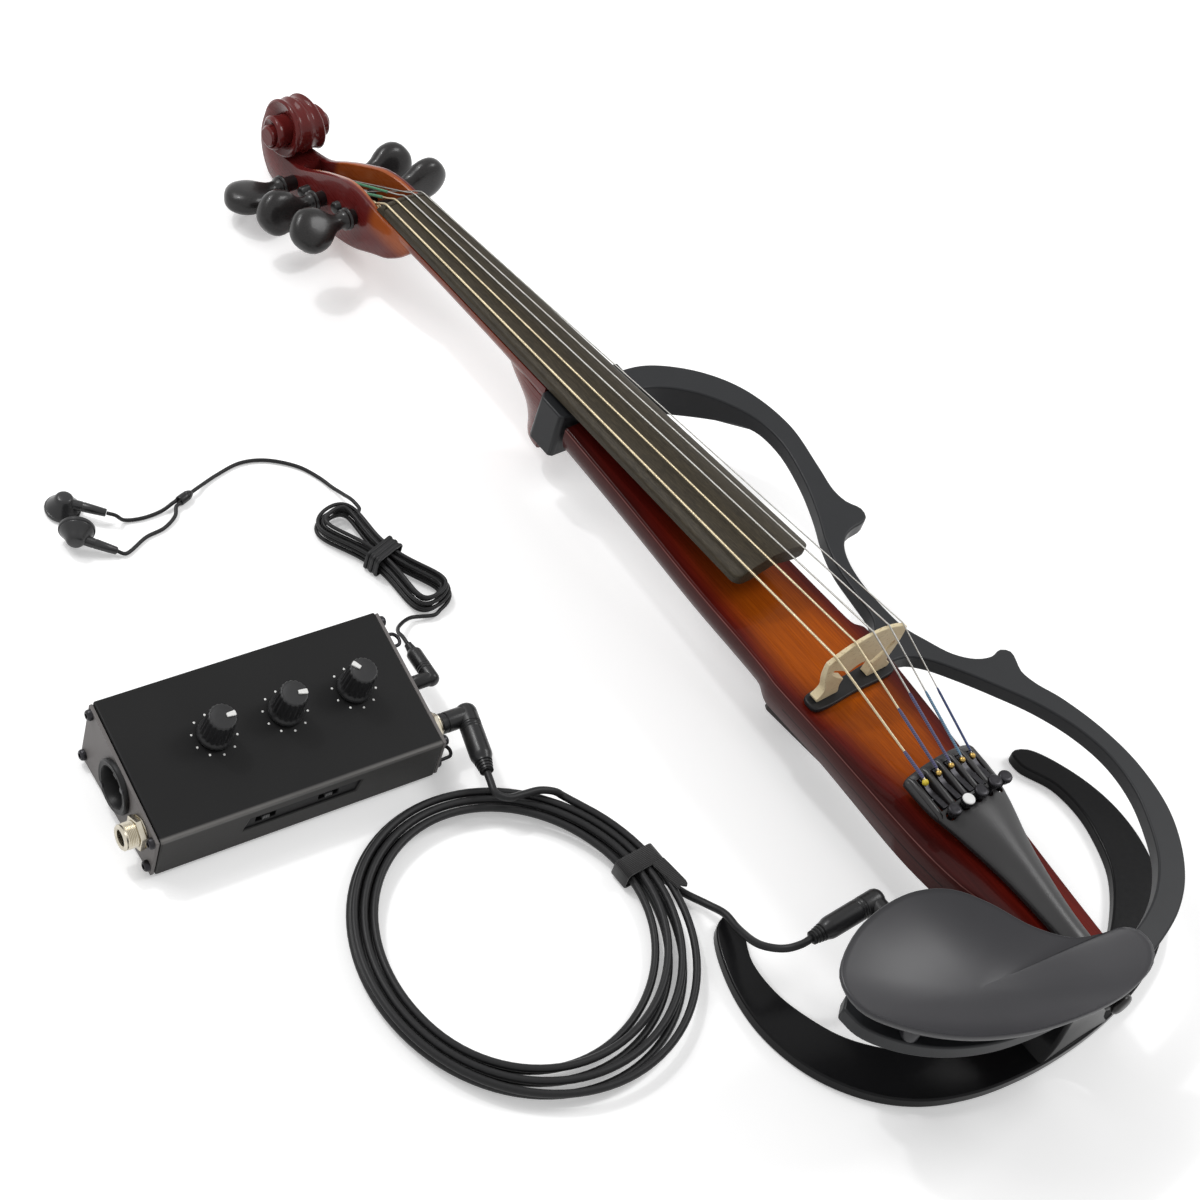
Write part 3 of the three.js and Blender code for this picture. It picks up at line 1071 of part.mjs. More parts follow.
const coilEnd = windingEnd(coil.at(-1), coil.at(-2), CABLE_RADIUS);
const coilStart = windingEnd(coil[0], coil[1], CABLE_RADIUS).reverse();
add(leads, 'cable_lead', tube([...bootEnd(violinPlug, VIOLIN_PLUG), [-97.5, -80, 30], [-100.5, -71, 22.5],
  [-97, -57, 12.5], [-95, -47, 9.2], [-96, -38, 5.2], [-100.4, -27, 3.4], ...coilStart], CABLE_RADIUS, 8, 12),
  black(0.5));
add(leads, 'cable_tail', tube([...bootEnd(boxPlug, BOX_PLUG), [-148.4, 46.4, 16.2], [-144.4, 42.4, 15],
  [-137, 41.2, 13.9], [-128, 40, 12.4], [-121, 37.2, 10], ...coilEnd.reverse()], CABLE_RADIUS, 8, 9),
  black(0.5));

const hankStart = windingEnd(hank[0], hank[1], PHONES_CORD_RADIUS).reverse();
const hankEnd = windingEnd(hank.at(-1), hank.at(-2), PHONES_CORD_RADIUS);
add(leads, 'phones_lead', tube([...bootEnd(phonesPlug, PHONES_PLUG), [-131.5, 138.5, 11.5], [-125, 144.5, 6],
  [-116, 147.6, 2.8], ...hankStart], PHONES_CORD_RADIUS, 8, 8), black(0.5));

// Splitter: a short sleeve; its X runs to the earphones
const SPLITTER_LENGTH = 8;
const BRANCH = 1.15; // each branch cord's distance from the middle
const sleeve = [[0, 0], [1.4, 0], [2.3, 2.5], [2.4, SPLITTER_LENGTH], [0, SPLITTER_LENGTH]];
const cordSplitter = add(leads, 'cord_splitter', lengthwise(sleeve, 10, 0, 0), black(0.5));
cordSplitter.position.set(-163, 253, 2.6);
cordSplitter.rotation.z = 195 * RADIANS;
function branchStart(side) {
  return [SEAT_GAP, 3].map((d) =>
    cordSplitter.localToWorld(vec(SPLITTER_LENGTH + d, side * BRANCH, 0)).toArray());
}

// Earphones: a round housing with a sloping back and a hollow stem; X runs down the stem
const STEM_END = 19;
function earphone() {
  const housing = turned([[0, 0], [5.6, 0], [7.6, 1.2], [8, 3], [7.4, 4.4], [4.8, 8.4], [3, 9.6], [0, 9.6]],
    12);
  const stem = lengthwise([[0, 0], [2.3, 0], [2.2, 9], [1.8, STEM_END], [0, STEM_END]], 8, 0, 0);
  return join(housing, place(stem, 0, 0, 6));
}
// One lies on its face, the other on its rim with the tip of its stem on the table
const EARPHONES = [
  { spot: [-218.5, 270.5, 0.1], heading: -46, roll: 0, dip: 0 },
  { spot: [-222, 254, 8.1], heading: -36, roll: 90, dip: -17 },
];
const earphones = EARPHONES.map(({ spot, heading, roll, dip }, i) => {
  const mesh = add(leads, `earphone_${i + 1}`, earphone(), black(0.35));
  mesh.position.set(...spot);
  mesh.rotateZ(heading * RADIANS).rotateX(roll * RADIANS).rotateZ(dip * RADIANS);
  return mesh;
});
function stemEnd(mesh) {
  set.updateMatrixWorld(true);
  return [4, SEAT_GAP].map((d) => mesh.localToWorld(vec(STEM_END + d, 0, 6)).toArray());
}

set.updateMatrixWorld(true);
const splitterStart = [4, SEAT_GAP].map((d) => cordSplitter.localToWorld(vec(-d, 0, 0)).toArray());
add(leads, 'phones_cord', tube([...hankEnd, [-103.4, 207, 8.9], [-103.2, 212.5, 8.7], [-102.4, 220, 5],
  [-102.3, 228, 1.6], [-104, 236, 1], [-109, 246, 1], [-120.5, 256, 1], [-132, 259.6, 1], [-146, 258, 1],
  [-155, 255.6, 1.6], ...splitterStart], PHONES_CORD_RADIUS, 8, 17), black(0.5));
add(leads, 'earphone_cord_1', tube([...branchStart(-1), [-180, 250.4, 1.3], [-190, 250.8, 1],
  [-198, 253, 1.6], ...stemEnd(earphones[0])], PHONES_CORD_RADIUS, 8, 12), black(0.5));
add(leads, 'earphone_cord_2', tube([...branchStart(1), [-176, 245.4, 1.6], [-184, 241.6, 1],
  [-194, 240.6, 1], ...stemEnd(earphones[1])], PHONES_CORD_RADIUS, 8, 10), black(0.5));

// The origin goes under the middle of the object's own pieces, at the level they stand on
const reach = new THREE.Box3();
set.traverse((node) => {
  if (node.isMesh && !ON_THE_CORDS.test(node.name)) reach.expandByObject(node, true);
});
const ORIGIN = [-(reach.min.x + reach.max.x) / 2, -(reach.min.y + reach.max.y) / 2, -reach.min.z];
set.position.set(...ORIGIN);
console.log(`origin shift: ${ORIGIN.map((v) => v.toFixed(3)).join(', ')}`);

export default set;
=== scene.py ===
# %% [markdown]
# # An electric violin with its control box
#
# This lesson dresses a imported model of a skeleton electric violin, its control
# box, a coiled cable and a pair of earphones. The solids arrive as a fixed
# frame. Each cell either makes a finish, or builds a finer piece that stands
# where its solid stands and moves with the same body.

# %% Load the frame
import math

import bmesh
import bpy
from mathutils import Matrix, Vector


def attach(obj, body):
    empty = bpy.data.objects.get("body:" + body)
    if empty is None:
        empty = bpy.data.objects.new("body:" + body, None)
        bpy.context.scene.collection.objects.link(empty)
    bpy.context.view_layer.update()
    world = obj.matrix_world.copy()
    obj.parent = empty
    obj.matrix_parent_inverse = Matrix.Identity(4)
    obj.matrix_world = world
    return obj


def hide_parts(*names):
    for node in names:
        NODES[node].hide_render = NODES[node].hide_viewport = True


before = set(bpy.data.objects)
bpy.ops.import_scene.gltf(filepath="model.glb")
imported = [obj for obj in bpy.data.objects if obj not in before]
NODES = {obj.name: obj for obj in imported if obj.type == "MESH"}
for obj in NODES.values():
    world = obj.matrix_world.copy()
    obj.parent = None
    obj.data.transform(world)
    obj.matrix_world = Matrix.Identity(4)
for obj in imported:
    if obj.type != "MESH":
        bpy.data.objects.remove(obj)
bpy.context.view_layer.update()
print("solids in the frame:", len(NODES))

# %% [markdown]
# ## Units and the camera
#
# Instrument makers think in millimetres. Two small functions turn millimetres
# into the frame's metres: one counts from the middle of the violin's body top,
# the other from the table. The camera stands high over the bass side of the
# tail, with a long lens, as a catalogue photographer would place it.

# %% Millimetres and the camera
MM = 0.001
MIDDLE = Vector((94.009, -128.286, 0))  # brings the middle of the set to the origin
BODY_TOP = 54.0  # height over the table
LENS, SENSOR_WIDTH = 78, 36
CAMERA_SPOT = (-687, -352.5, 817.6)
CAMERA_RIGHT = (0.7560, -0.6080, 0.2430)
CAMERA_BACK = (-0.554, -0.395, 0.733)


def on_table(x, y, z):
    """A point in metres, from millimetres counted from the table."""
    return (Vector((x, y, z)) + MIDDLE) * MM


def on_violin(x, y, z):
    """A point in metres, from millimetres counted from the body top."""
    return on_table(x, y, z + BODY_TOP)


camera_data = bpy.data.cameras.new("camera")
camera_data.sensor_width = SENSOR_WIDTH
camera_data.lens = LENS
camera_data.clip_start = 0.05
camera_data.clip_end = 20
camera = bpy.data.objects.new("camera", camera_data)
bpy.context.scene.collection.objects.link(camera)
across = Vector(CAMERA_RIGHT).normalized()
back = Vector(CAMERA_BACK).normalized()
up = back.cross(across).normalized()
stance = Matrix((across, up, back)).transposed()
camera.matrix_world = Matrix.Translation(on_violin(*CAMERA_SPOT)) @ stance.to_4x4()
bpy.context.scene.camera = camera
print("camera at", [round(v, 3) for v in camera.location])

# %% [markdown]
# ## Arithmetic on shader sockets
#
# A finish is a small program of nodes. The class below wraps one output socket,
# so that a mask can be written as `1 - grain * 0.3` and the Math nodes are added
# for us. Colours go through Mix nodes, because a Math node would turn them grey.

# %% A finish and its sockets


class Signal:
    """One output socket, with arithmetic."""

    def __init__(self, finish, socket):
        self.finish = finish
        self.socket = socket

    def result_of(self, operation, first, second):
        return self.finish.node("ShaderNodeMath", {"operation": operation}, first, second)

    def __add__(self, other):
        return self.result_of("ADD", self, other)

    __radd__ = __add__

    def __sub__(self, other):
        return self.result_of("SUBTRACT", self, other)

    def __rsub__(self, other):
        return self.result_of("SUBTRACT", other, self)

    def __mul__(self, other):
        return self.result_of("MULTIPLY", self, other)

    __rmul__ = __mul__

    def __truediv__(self, other):
        return self.result_of("DIVIDE", self, other)

    def above(self, other):
        return self.result_of("GREATER_THAN", self, other)

    def below(self, other):
        return self.result_of("LESS_THAN", self, other)

    def larger(self, other):
        return self.result_of("MAXIMUM", self, other)

    def size(self):
        return self.finish.node("ShaderNodeMath", {"operation": "ABSOLUTE"}, self)

    def ease(self, low, high):
        """0 up to low, 1 from high, smooth in between."""
        return self.finish.node(
            "ShaderNodeMapRange", {"interpolation_type": "SMOOTHSTEP"}, self, low, high, 0, 1
        )


class Finish:
    """A node material that is built up from Python expressions."""

    def __init__(self, name, color, roughness, **fixed):
        self.material = bpy.data.materials.new(name)
        self.material.use_nodes = True
        self.tree = self.material.node_tree
        self.shader = self.tree.nodes["Principled BSDF"]
        self.shader.inputs["Base Color"].default_value = (*color, 1)
        self.shader.inputs["Roughness"].default_value = roughness
        for socket, value in fixed.items():
            self.shader.inputs[socket.replace("_", " ")].default_value = value
        self.place = self.node("ShaderNodeTexCoord", out="Object")

    def node(self, kind, settings=None, *values, out=0, **named):
        node = self.tree.nodes.new(kind)
        for key, value in (settings or {}).items():
            setattr(node, key, value)
        for socket, value in zip(node.inputs, values):
            self.feed(socket, value)
        for key, value in named.items():
            self.feed(node.inputs[key.replace("_", " ")], value)
        return Signal(self, node.outputs[out])

    def feed(self, socket, value):
        if isinstance(value, Signal):
            self.tree.links.new(value.socket, socket)
        elif value is not None:
            socket.default_value = value

    def noise(self, scale, detail, stretch=None, roughness=0.5):
        """Noise whose scale counts in features per metre."""
        where = self.place if stretch is None else self.stretched(stretch)
        return self.node(
            "ShaderNodeTexNoise", None, Vector=where, Scale=scale, Detail=detail,
            Roughness=roughness,
        )

    def on_violin(self):
        """Three signals: millimetres from the middle of the body top."""
        offsets = (-MIDDLE.x, -MIDDLE.y, -BODY_TOP)
        return [self.axis(i) / MM + offset for i, offset in enumerate(offsets)]

    def stretched(self, stretch):
        return self.node("ShaderNodeMapping", None, Vector=self.place, Scale=stretch)

    def axis(self, index):
        return self.node("ShaderNodeSeparateXYZ", None, self.place, out=index)

    def mix(self, factor, first, second, blend="MIX"):
        """Colour from first to second as factor goes from 0 to 1."""
        first = first if isinstance(first, Signal) else (*first, 1)
        second = second if isinstance(second, Signal) else (*second, 1)
        node = self.tree.nodes.new("ShaderNodeMix")
        node.data_type = "RGBA"
        node.blend_type = blend
        for index, value in ((0, factor), (6, first), (7, second)):
            self.feed(node.inputs[index], value)
        return Signal(self, node.outputs[2])

    def paint(self, **signals):
        for name, value in signals.items():
            self.feed(self.shader.inputs[name.replace("_", " ")], value)
        return self

    def mottle(self, scale, low, high, swing, smoothest):
        """Colour and roughness that drift together between two tones."""
        drift = self.noise(scale, 3)
        return self.paint(
            Base_Color=self.mix(drift, tint(*low), tint(*high)),
            Roughness=drift * swing + smoothest,
        )

    def bump(self, height, distance, strength):
        """Relief of a given depth in metres."""
        relief = self.node(
            "ShaderNodeBump", None, Height=height, Distance=distance, Strength=strength
        )
        return self.paint(Normal=relief)


def tint(red, green, blue):
    """A colour as a paint chart gives it, 0 to 255, in the shader's own units."""
    return tuple(
        v / 255 / 12.92 if v < 11 else ((v / 255 + 0.055) / 1.055) ** 2.4
        for v in (red, green, blue)
    )


# %% [markdown]
# ## Helpers for shapes
#
# Nearly every piece here is one of four kinds: a loft through sections, a solid
# of revolution, a plate with rounded edges, or a rod that follows a line. Each
# helper starts from one face or edge loop and lets bmesh operators carry it on.

# %% Shape helpers


def loft(rings, closed=False):
    """A skin through rings of points. The first is a face that is extruded from ring to ring."""
    bm = bmesh.new()
    face = bm.faces.new([bm.verts.new(p) for p in rings[0]])
    for ring in rings[1:]:
        face = bmesh.ops.extrude_discrete_faces(bm, faces=[face])["faces"][0]
        for vert, spot in zip(face.verts, ring):
            vert.co = spot
    if closed:
        bmesh.ops.delete(bm, geom=[face], context="FACES_ONLY")
        bmesh.ops.remove_doubles(bm, verts=bm.verts, dist=1e-6)
    else:
        bmesh.ops.holes_fill(bm, edges=[e for e in bm.edges if e.is_boundary])
    bmesh.ops.recalc_face_normals(bm, faces=bm.faces)
    return bm


def turned(profile, steps):
    """A solid of revolution about Z, from (radius, height) pairs."""
    bm = bmesh.new()
    verts = [bm.verts.new((radius, 0, height)) for radius, height in profile]
    edges = [bm.edges.new(pair) for pair in zip(verts, verts[1:])]
    bmesh.ops.spin(
        bm, geom=verts + edges, cent=(0, 0, 0), axis=(0, 0, 1),
        angle=2 * math.pi, steps=steps, use_merge=True,
    )
    bmesh.ops.remove_doubles(bm, verts=bm.verts, dist=1e-7)
    bmesh.ops.recalc_face_normals(bm, faces=bm.faces)
    return bm


def plate(outline, low, high):
    """A flat outline in X and Y, given a thickness from low to high."""
    bm = bmesh.new()
    face = bm.faces.new([bm.verts.new((x, y, low)) for x, y in outline])
    grown = bmesh.ops.extrude_face_region(bm, geom=[face])["geom"]
    bmesh.ops.translate(
        bm, vec=(0, 0, high - low), verts=[v for v in grown if isinstance(v, bmesh.types.BMVert)]
    )
    bmesh.ops.recalc_face_normals(bm, faces=bm.faces)
    return bm


def moved(bm, matrix):
    bmesh.ops.transform(bm, matrix=matrix, verts=bm.verts)
    if matrix.determinant() < 0:
        bmesh.ops.reverse_faces(bm, faces=bm.faces)
    return bm


def joined(*parts):
    """Several bmeshes in one."""
    whole = bmesh.new()
    for part in parts:
        mesh = bpy.data.meshes.new("part")
        part.to_mesh(mesh)
        part.free()
        whole.from_mesh(mesh)
        bpy.data.meshes.remove(mesh)
    return whole


def shift(x, y, z):
    return Matrix.Translation((x, y, z))


def rotate(degrees, axis):
    return Matrix.Rotation(math.radians(degrees), 4, axis)


UPRIGHT = rotate(90, "X")  # stands a plate on its edge
LENGTHWISE = rotate(90, "Y")  # lays a spun piece along X
ENDWISE = Matrix(((0, 0, 1, 0), (1, 0, 0, 0), (0, 1, 0, 0), (0, 0, 0, 1)))  # a plate across X


def clamp(share):
    return min(max(share, 0), 1)


def smoothstep(x, low, high):
    t = clamp((x - low) / (high - low))
    return t * t * (3 - 2 * t)


def between(low, high, share):
    return low + (high - low) * share


def corner_cut(share, radius):
    """How far a round corner is cut back. share is 0 at its end and 1 where it runs out."""
    return radius * (1 - math.sqrt(1 - (1 - share) ** 2))


def both_halves(right):
    """The right half of a section, from middle to middle, with its mirror image."""
    return right + [(-x, z) for x, z in right[1:-1]][::-1]


def circle(spot, first, second, radius, sides):
    """Points round a spot, in the plane of two unit directions."""
    turns = [2 * math.pi * j / sides for j in range(sides)]
    return [
        spot + first * (radius * math.cos(t)) + second * (radius * math.sin(t)) for t in turns
    ]


def smooth_line(points, step):
    """Points along a smooth curve through the given ones, about one step apart."""
    points = [Vector(p) for p in points]
    line = []
    padded = [2 * points[0] - points[1], *points, 2 * points[-1] - points[-2]]
    for before, start, end, after in zip(padded, padded[1:], padded[2:], padded[3:]):
        knots = [0.0]
        for a, b in ((before, start), (start, end), (end, after)):
            knots.append(knots[-1] + max((b - a).length, 1e-9) ** 0.5)
        count = max(2, round((end - start).length / step))
        for i in range(count):
            t = knots[1] + (knots[2] - knots[1]) * i / count
            level = [before, start, end, after]
            for depth in (1, 2, 3):
                spans = []
                for k in range(len(level) - 1):
                    low = knots[k] if depth < 3 else knots[1]
                    high = knots[k + depth] if depth < 3 else knots[2]
                    share = (t - low) / (high - low)
                    spans.append(level[k].lerp(level[k + 1], share))
                level = spans
            line.append(level[0])
    line.append(points[-1])
    return line


def length_of(line):
    return sum((b - a).length for a, b in zip(line, line[1:]))


def add_piece(name, bm, place, finish, stands_for=(), body="set", angle=35, soften=None):
    """Makes an object from a bmesh, stands it in its place and rides it on a body."""
    mesh = bpy.data.meshes.new(name)
    moved(bm, place).to_mesh(mesh)
    bm.free()
    mesh.materials.append(finish.material)
    mesh.shade_smooth()
    mesh.set_sharp_from_angle(angle=math.radians(angle))
    piece = bpy.data.objects.new(name, mesh)
    bpy.context.scene.collection.objects.link(piece)
    if soften:
        round_edges(piece, soften)
    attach(piece, body)
    if stands_for:
        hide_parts(*stands_for)
    return piece


def round_edges(piece, width):
    bevel = piece.modifiers.new("rounded edges", "BEVEL")
    bevel.width = width
    bevel.segments = 3
    bevel.limit_method = "ANGLE"
    bevel.angle_limit = math.radians(35)


def add_cord(name, line, radius, finish, stands_for):
    """A cord as a curve of one open spline."""
    data = bpy.data.curves.new(name, "CURVE")
    data.dimensions = "3D"
    data.bevel_depth = radius
    data.bevel_resolution = 3
    data.use_fill_caps = True
    spline = data.splines.new("POLY")
    spline.points.add(len(line) - 1)
    for point, spot in zip(spline.points, line):
        point.co = (*spot, 1)
    data.materials.append(finish.material)
    cord = bpy.data.objects.new(name, data)
    bpy.context.scene.collection.objects.link(cord)
    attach(cord, "set")
    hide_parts(*stands_for)
    return cord


def welded_copy(node):
    """A copy of a solid in its place, with loose triangles merged and flat faces made whole."""
    bm = bmesh.new()
    bm.from_mesh(NODES[node].data)
    bmesh.ops.remove_doubles(bm, verts=bm.verts, dist=2e-6)
    bmesh.ops.dissolve_limit(
        bm, angle_limit=math.radians(1), verts=bm.verts, edges=bm.edges,
        use_dissolve_boundaries=False,
    )
    return bm


def carved(bm, *cutters):
    """Cuts closed shapes out of a closed shape, with Blender's exact boolean."""
    cut = bpy.data.objects.new("cutter", bpy.data.meshes.new("cutter"))
    tool = joined(*cutters)
    bmesh.ops.recalc_face_normals(tool, faces=tool.faces)
    tool.to_mesh(cut.data)
    tool.free()
    work = bpy.data.objects.new("work", bpy.data.meshes.new("work"))
    bm.to_mesh(work.data)
    bm.free()
    bpy.context.scene.collection.objects.link(work)
    bpy.context.scene.collection.objects.link(cut)
    boolean = work.modifiers.new("cut", "BOOLEAN")
    boolean.operation = "DIFFERENCE"
    boolean.solver = "EXACT"
    boolean.use_self = True
    boolean.object = cut
    result = bpy.data.meshes.new_from_object(
        work.evaluated_get(bpy.context.evaluated_depsgraph_get())
    )
    left = bmesh.new()
    left.from_mesh(result)
    meshes = [work.data, cut.data, result]
    for thing in (work, cut):
        bpy.data.objects.remove(thing)
    for mesh in meshes:
        bpy.data.meshes.remove(mesh)
    return left


def block(x0, x1, y0, y1, z0, z1):
    """A brick between two corners."""
    bm = bmesh.new()
    bmesh.ops.create_cube(bm, size=1)
    bmesh.ops.scale(bm, vec=(x1 - x0, y1 - y0, z1 - z0), verts=bm.verts)
    bmesh.ops.translate(bm, vec=((x0 + x1) / 2, (y0 + y1) / 2, (z0 + z1) / 2), verts=bm.verts)
    return bm


def rod(radius, low, high, steps):
    return turned([(0, low), (radius, low), (radius, high), (0, high)], steps)


def tube(line, radius, sides):
    """A round bar that follows a line. Its radius is a number, or a function of the way along."""
    rings = []
    line = [Vector(p) for p in line]
    side = None
    for k, spot in enumerate(line):
        ahead = (line[min(k + 1, len(line) - 1)] - line[max(k - 1, 0)]).normalized()
        if side is None:
            side = ahead.orthogonal().normalized()
        side = (side - ahead * side.dot(ahead)).normalized()
        other = ahead.cross(side)
        r = radius(k / (len(line) - 1)) if callable(radius) else radius
        rings.append(circle(spot, side, other, r, sides))
    return loft(rings)


print("helpers ready")

# %% [markdown]
# ## The cords
#
# Two free cords lie beside the instrument. A 3.4 mm screened cable runs from
# the box to the violin and is wound into six loops held by a strap. A 1.8 mm
# earphone cord is folded into a hank, then splits in two. Both follow the
# same routes as the solids, with far more points to each turn.

# %% Routes of the wound cords
CABLE_RADIUS = 1.7
CORD_RADIUS = 0.9
STEPS_A_LOOP = 96
COIL_X, COIL_Y, COIL_FLOOR = -175, -12, 1.6
COIL_HALF_WIDTH, COIL_HALF_LENGTH = 71, 75.5
COIL_LOOPS, COIL_PITCH = 6 + 26 / 360, 4.1
HANK_X, HANK_Y, HANK_FLOOR = -108, 181, 1.1
HANK_LOOPS, HANK_PITCH = 7.325, 2.42
HANK_LEAN = 14.5


def pile(n, turnings, climb):
    """Depth in from the outermost loop, and layer, as the loops spiral in and out."""
    depth, layer = n, 0
    for k, turning in enumerate(turnings):
        depth += (2 if k % 2 else -2) * max(0, n - turning)
        layer += smoothstep(n, turning - climb / 2, turning + climb / 2)
    return depth, layer


def coil_route():
    """Loops in two layers, which lie closer together under the strap."""
    steps = round(COIL_LOOPS * STEPS_A_LOOP)
    route = []
    for k in range(steps + 1):
        n = COIL_LOOPS * k / steps
        angle = math.radians(4) + 2 * math.pi * n
        depth, layer = pile(n, [3], 0.5)
        loose = 1 + 0.75 * max(0, math.cos(angle + math.radians(75))) ** 2
        inset = depth * COIL_PITCH * loose
        route.append(Vector((
            COIL_X + (COIL_HALF_WIDTH - inset) * math.cos(angle),
            COIL_Y + (COIL_HALF_LENGTH - inset) * math.sin(angle),
            COIL_FLOOR + CABLE_RADIUS + COIL_PITCH * layer,
        )))
    return route


def hank_outline(angle):
    """A loop that is pulled in at its waist by the tie."""
    s = math.sin(angle)
    return Vector((36 * math.cos(angle), s * (26 - 19.2 * s * s), 0))


def hank_route():
    steps = round(HANK_LOOPS * STEPS_A_LOOP)
    tilt = Matrix.Rotation(math.radians(90 + HANK_LEAN), 3, "Z")
    route = []
    for k in range(steps + 1):
        n = HANK_LOOPS * k / steps
        angle = math.pi + 2 * math.pi * n
        depth, layer = pile(n, [2.25, 4.25, 6.25], 0.4)
        ahead = (hank_outline(angle + 0.01) - hank_outline(angle - 0.01)).normalized()
        inward = Vector((0, 0, 1)).cross(ahead) * depth * HANK_PITCH
        spot = tilt @ (hank_outline(angle) + inward)
        height = HANK_FLOOR + CORD_RADIUS + HANK_PITCH * layer
        route.append(spot + Vector((HANK_X, HANK_Y, height)))
    return route


def ends_of(route, radius):
    """Two points in line with each end of a winding, the nearer one first."""
    ends = []
    for end, near in ((route[0], route[1]), (route[-1], route[-2])):
        out = (end - near).normalized()
        ends.append([end + out * (2 * radius + 0.3), end + out * (6 * radius + 0.3)])
    return ends


# %% [markdown]
# ## Where the cords end
#
# The right-angle plugs give the cords their ends. Each plug has a barrel that
# leans a little in its socket, and the cord leaves it in line with the barrel.

# %% Where the plugs stand
BOX_SPOT = shift(-218.4, 113.25, 0) @ rotate(-6.3, "Z")
TO_METRES = Matrix.Scale(MM, 4) @ Matrix.Translation(MIDDLE)
ON_BOX = TO_METRES @ BOX_SPOT
ON_VIOLIN = TO_METRES @ shift(0, 0, BODY_TOP)
PLUGS = {
    "violin_plug": (
        shift(-54, -83.8, 37) @ rotate(90, "Z"),
        Vector((0.03, 1, -0.12)).normalized(), 33,
    ),
    "box_plug": (
        BOX_SPOT @ shift(86, -19, 16.5) @ rotate(180, "X"),
        Vector((-0.235, 0.972, 0)).normalized(), 30,
    ),
    "phones_plug": (
        BOX_SPOT @ shift(81.2, 4, 17), Vector((0.05, 1, -0.1)).normalized(), 21,
    ),
}


def boot_end(name):
    """Two points in line with a plug's barrel, the nearer one first, counted as the coil is."""
    spot, lean, barrel = PLUGS[name]
    return [spot @ (lean * (barrel + reach)) for reach in (0.3, 5)]


coil = coil_route()
hank = hank_route()
coil_start, coil_end = ends_of(coil, CABLE_RADIUS)
hank_start, hank_end = ends_of(hank, CORD_RADIUS)
violin_side = smooth_line(
    boot_end("violin_plug") + [
        (-97.5, -80, 30), (-100.5, -71, 22.5), (-97, -57, 12.5), (-95, -47, 9.2), (-96, -38, 5.2),
        (-100.4, -27, 3.4),
    ] + coil_start[::-1] + coil[:1],
    1.5,
)
box_side = smooth_line(
    boot_end("box_plug") + [
        (-148.4, 46.4, 16.2), (-144.4, 42.4, 15), (-137, 41.2, 13.9), (-128, 40, 12.4),
        (-121, 37.2, 10),
    ] + coil_end[::-1] + coil[-1:],
    1.5,
)
cable_line = violin_side[:-1] + coil + box_side[:-1][::-1]

SPLITTER = shift(-163, 253, 2.6) @ rotate(195, "Z")
phones_side = smooth_line(
    boot_end("phones_plug") + [(-131.5, 138.5, 11.5), (-125, 144.5, 6), (-116, 147.6, 2.8)]
    + hank_start[::-1] + hank[:1], 1.0,
)
long_side = smooth_line(
    hank[-1:] + hank_end
    + [
        (-103.4, 207, 8.9), (-103.2, 212.5, 8.7), (-102.4, 220, 5), (-102.3, 228, 1.6),
        (-104, 236, 1), (-109, 246, 1), (-120.5, 256, 1), (-132, 259.6, 1), (-146, 258, 1),
        (-155, 255.6, 1.6),
    ]
    + [SPLITTER @ Vector((-4, 0, 0)), SPLITTER @ Vector((-0.3, 0, 0))], 1.0,
)
phones_line = phones_side[:-1] + hank + long_side[1:]

# The two earphones: one lies on its face, the other on its rim
EARPHONES = [
    shift(-218.5, 270.5, 0.1) @ rotate(-46, "Z"),
    shift(-222, 254, 8.1) @ rotate(-36, "Z") @ UPRIGHT @ rotate(-17, "Z"),
]
STEM_END = 19
BRANCH_MIDDLES = [
    [(-180, 250.4, 1.3), (-190, 250.8, 1), (-198, 253, 1.6)],
    [(-176, 245.4, 1.6), (-184, 241.6, 1), (-194, 240.6, 1)],
]
branch_lines = []
for side, (spot, middles) in enumerate(zip(EARPHONES, BRANCH_MIDDLES)):
    start = [SPLITTER @ Vector((8 + reach, 1.15 * (2 * side - 1), 0)) for reach in (0.3, 3)]
    into_stem = [spot @ Vector((STEM_END + reach, 0, 6)) for reach in (4, 0.3)]
    branch_lines.append(smooth_line(start + middles + into_stem, 1.0))
print(
    "cable", round(length_of(cable_line)), "mm; earphone cord", round(length_of(phones_line)), "mm",
)

# %% [markdown]
# ## The cable jackets
#
# Cable jackets are smooth black PVC. A plain black would look painted, so the
# jacket gets a faint mottle in its roughness and a very shallow unevenness.

# %% Cable jacket
jacket = Finish("cable jacket", (0.013, 0.013, 0.014), 0.42, Specular_IOR_Level=0.24)
mottle = jacket.noise(900, 4)
jacket.paint(
    Roughness=mottle * 0.18 + 0.34,
    Base_Color=jacket.mix(mottle, (0.008, 0.008, 0.0085), (0.018, 0.018, 0.019)),
)
jacket.bump(jacket.noise(400, 2), 0.0001, 0.3)

cable = add_cord(
    "cable", [on_table(*p) for p in cable_line], CABLE_RADIUS * MM, jacket,
    ["cable_lead", "cable_coil", "cable_tail"],
)
phones_cord = add_cord(
    "phones_long_cord", [on_table(*p) for p in phones_line], CORD_RADIUS * MM, jacket,
    ["phones_lead", "phones_hank", "phones_cord"],
)
branches = [
    add_cord(
        f"phones_branch_{side + 1}", [on_table(*p) for p in line], CORD_RADIUS * MM, jacket,
        [f"earphone_cord_{side + 1}"],
    )
    for side, line in enumerate(branch_lines)
]

# %% [markdown]
# ## The outlines that the makers cut
#
# The two frames, the body and the fingerboard are all drawn from above first.
# A row of stations gives the half width along the instrument, and a smooth
# curve through listed points gives each free outline. These small
# functions are used by many of the pieces below.

# %% Widths, heights and outlines
STRING_LENGTH = 328
BOARD_END = 58
BOARD_WIDTHS = (26.8, 43.7)  # at the nut and at the free end
BOARD_RADIUS = 42
TOP_AT_NUT, TOP_RISE = 4.1, 0.0807
BASE_AT_NUT, BASE_RISE = -2.7, 0.0663


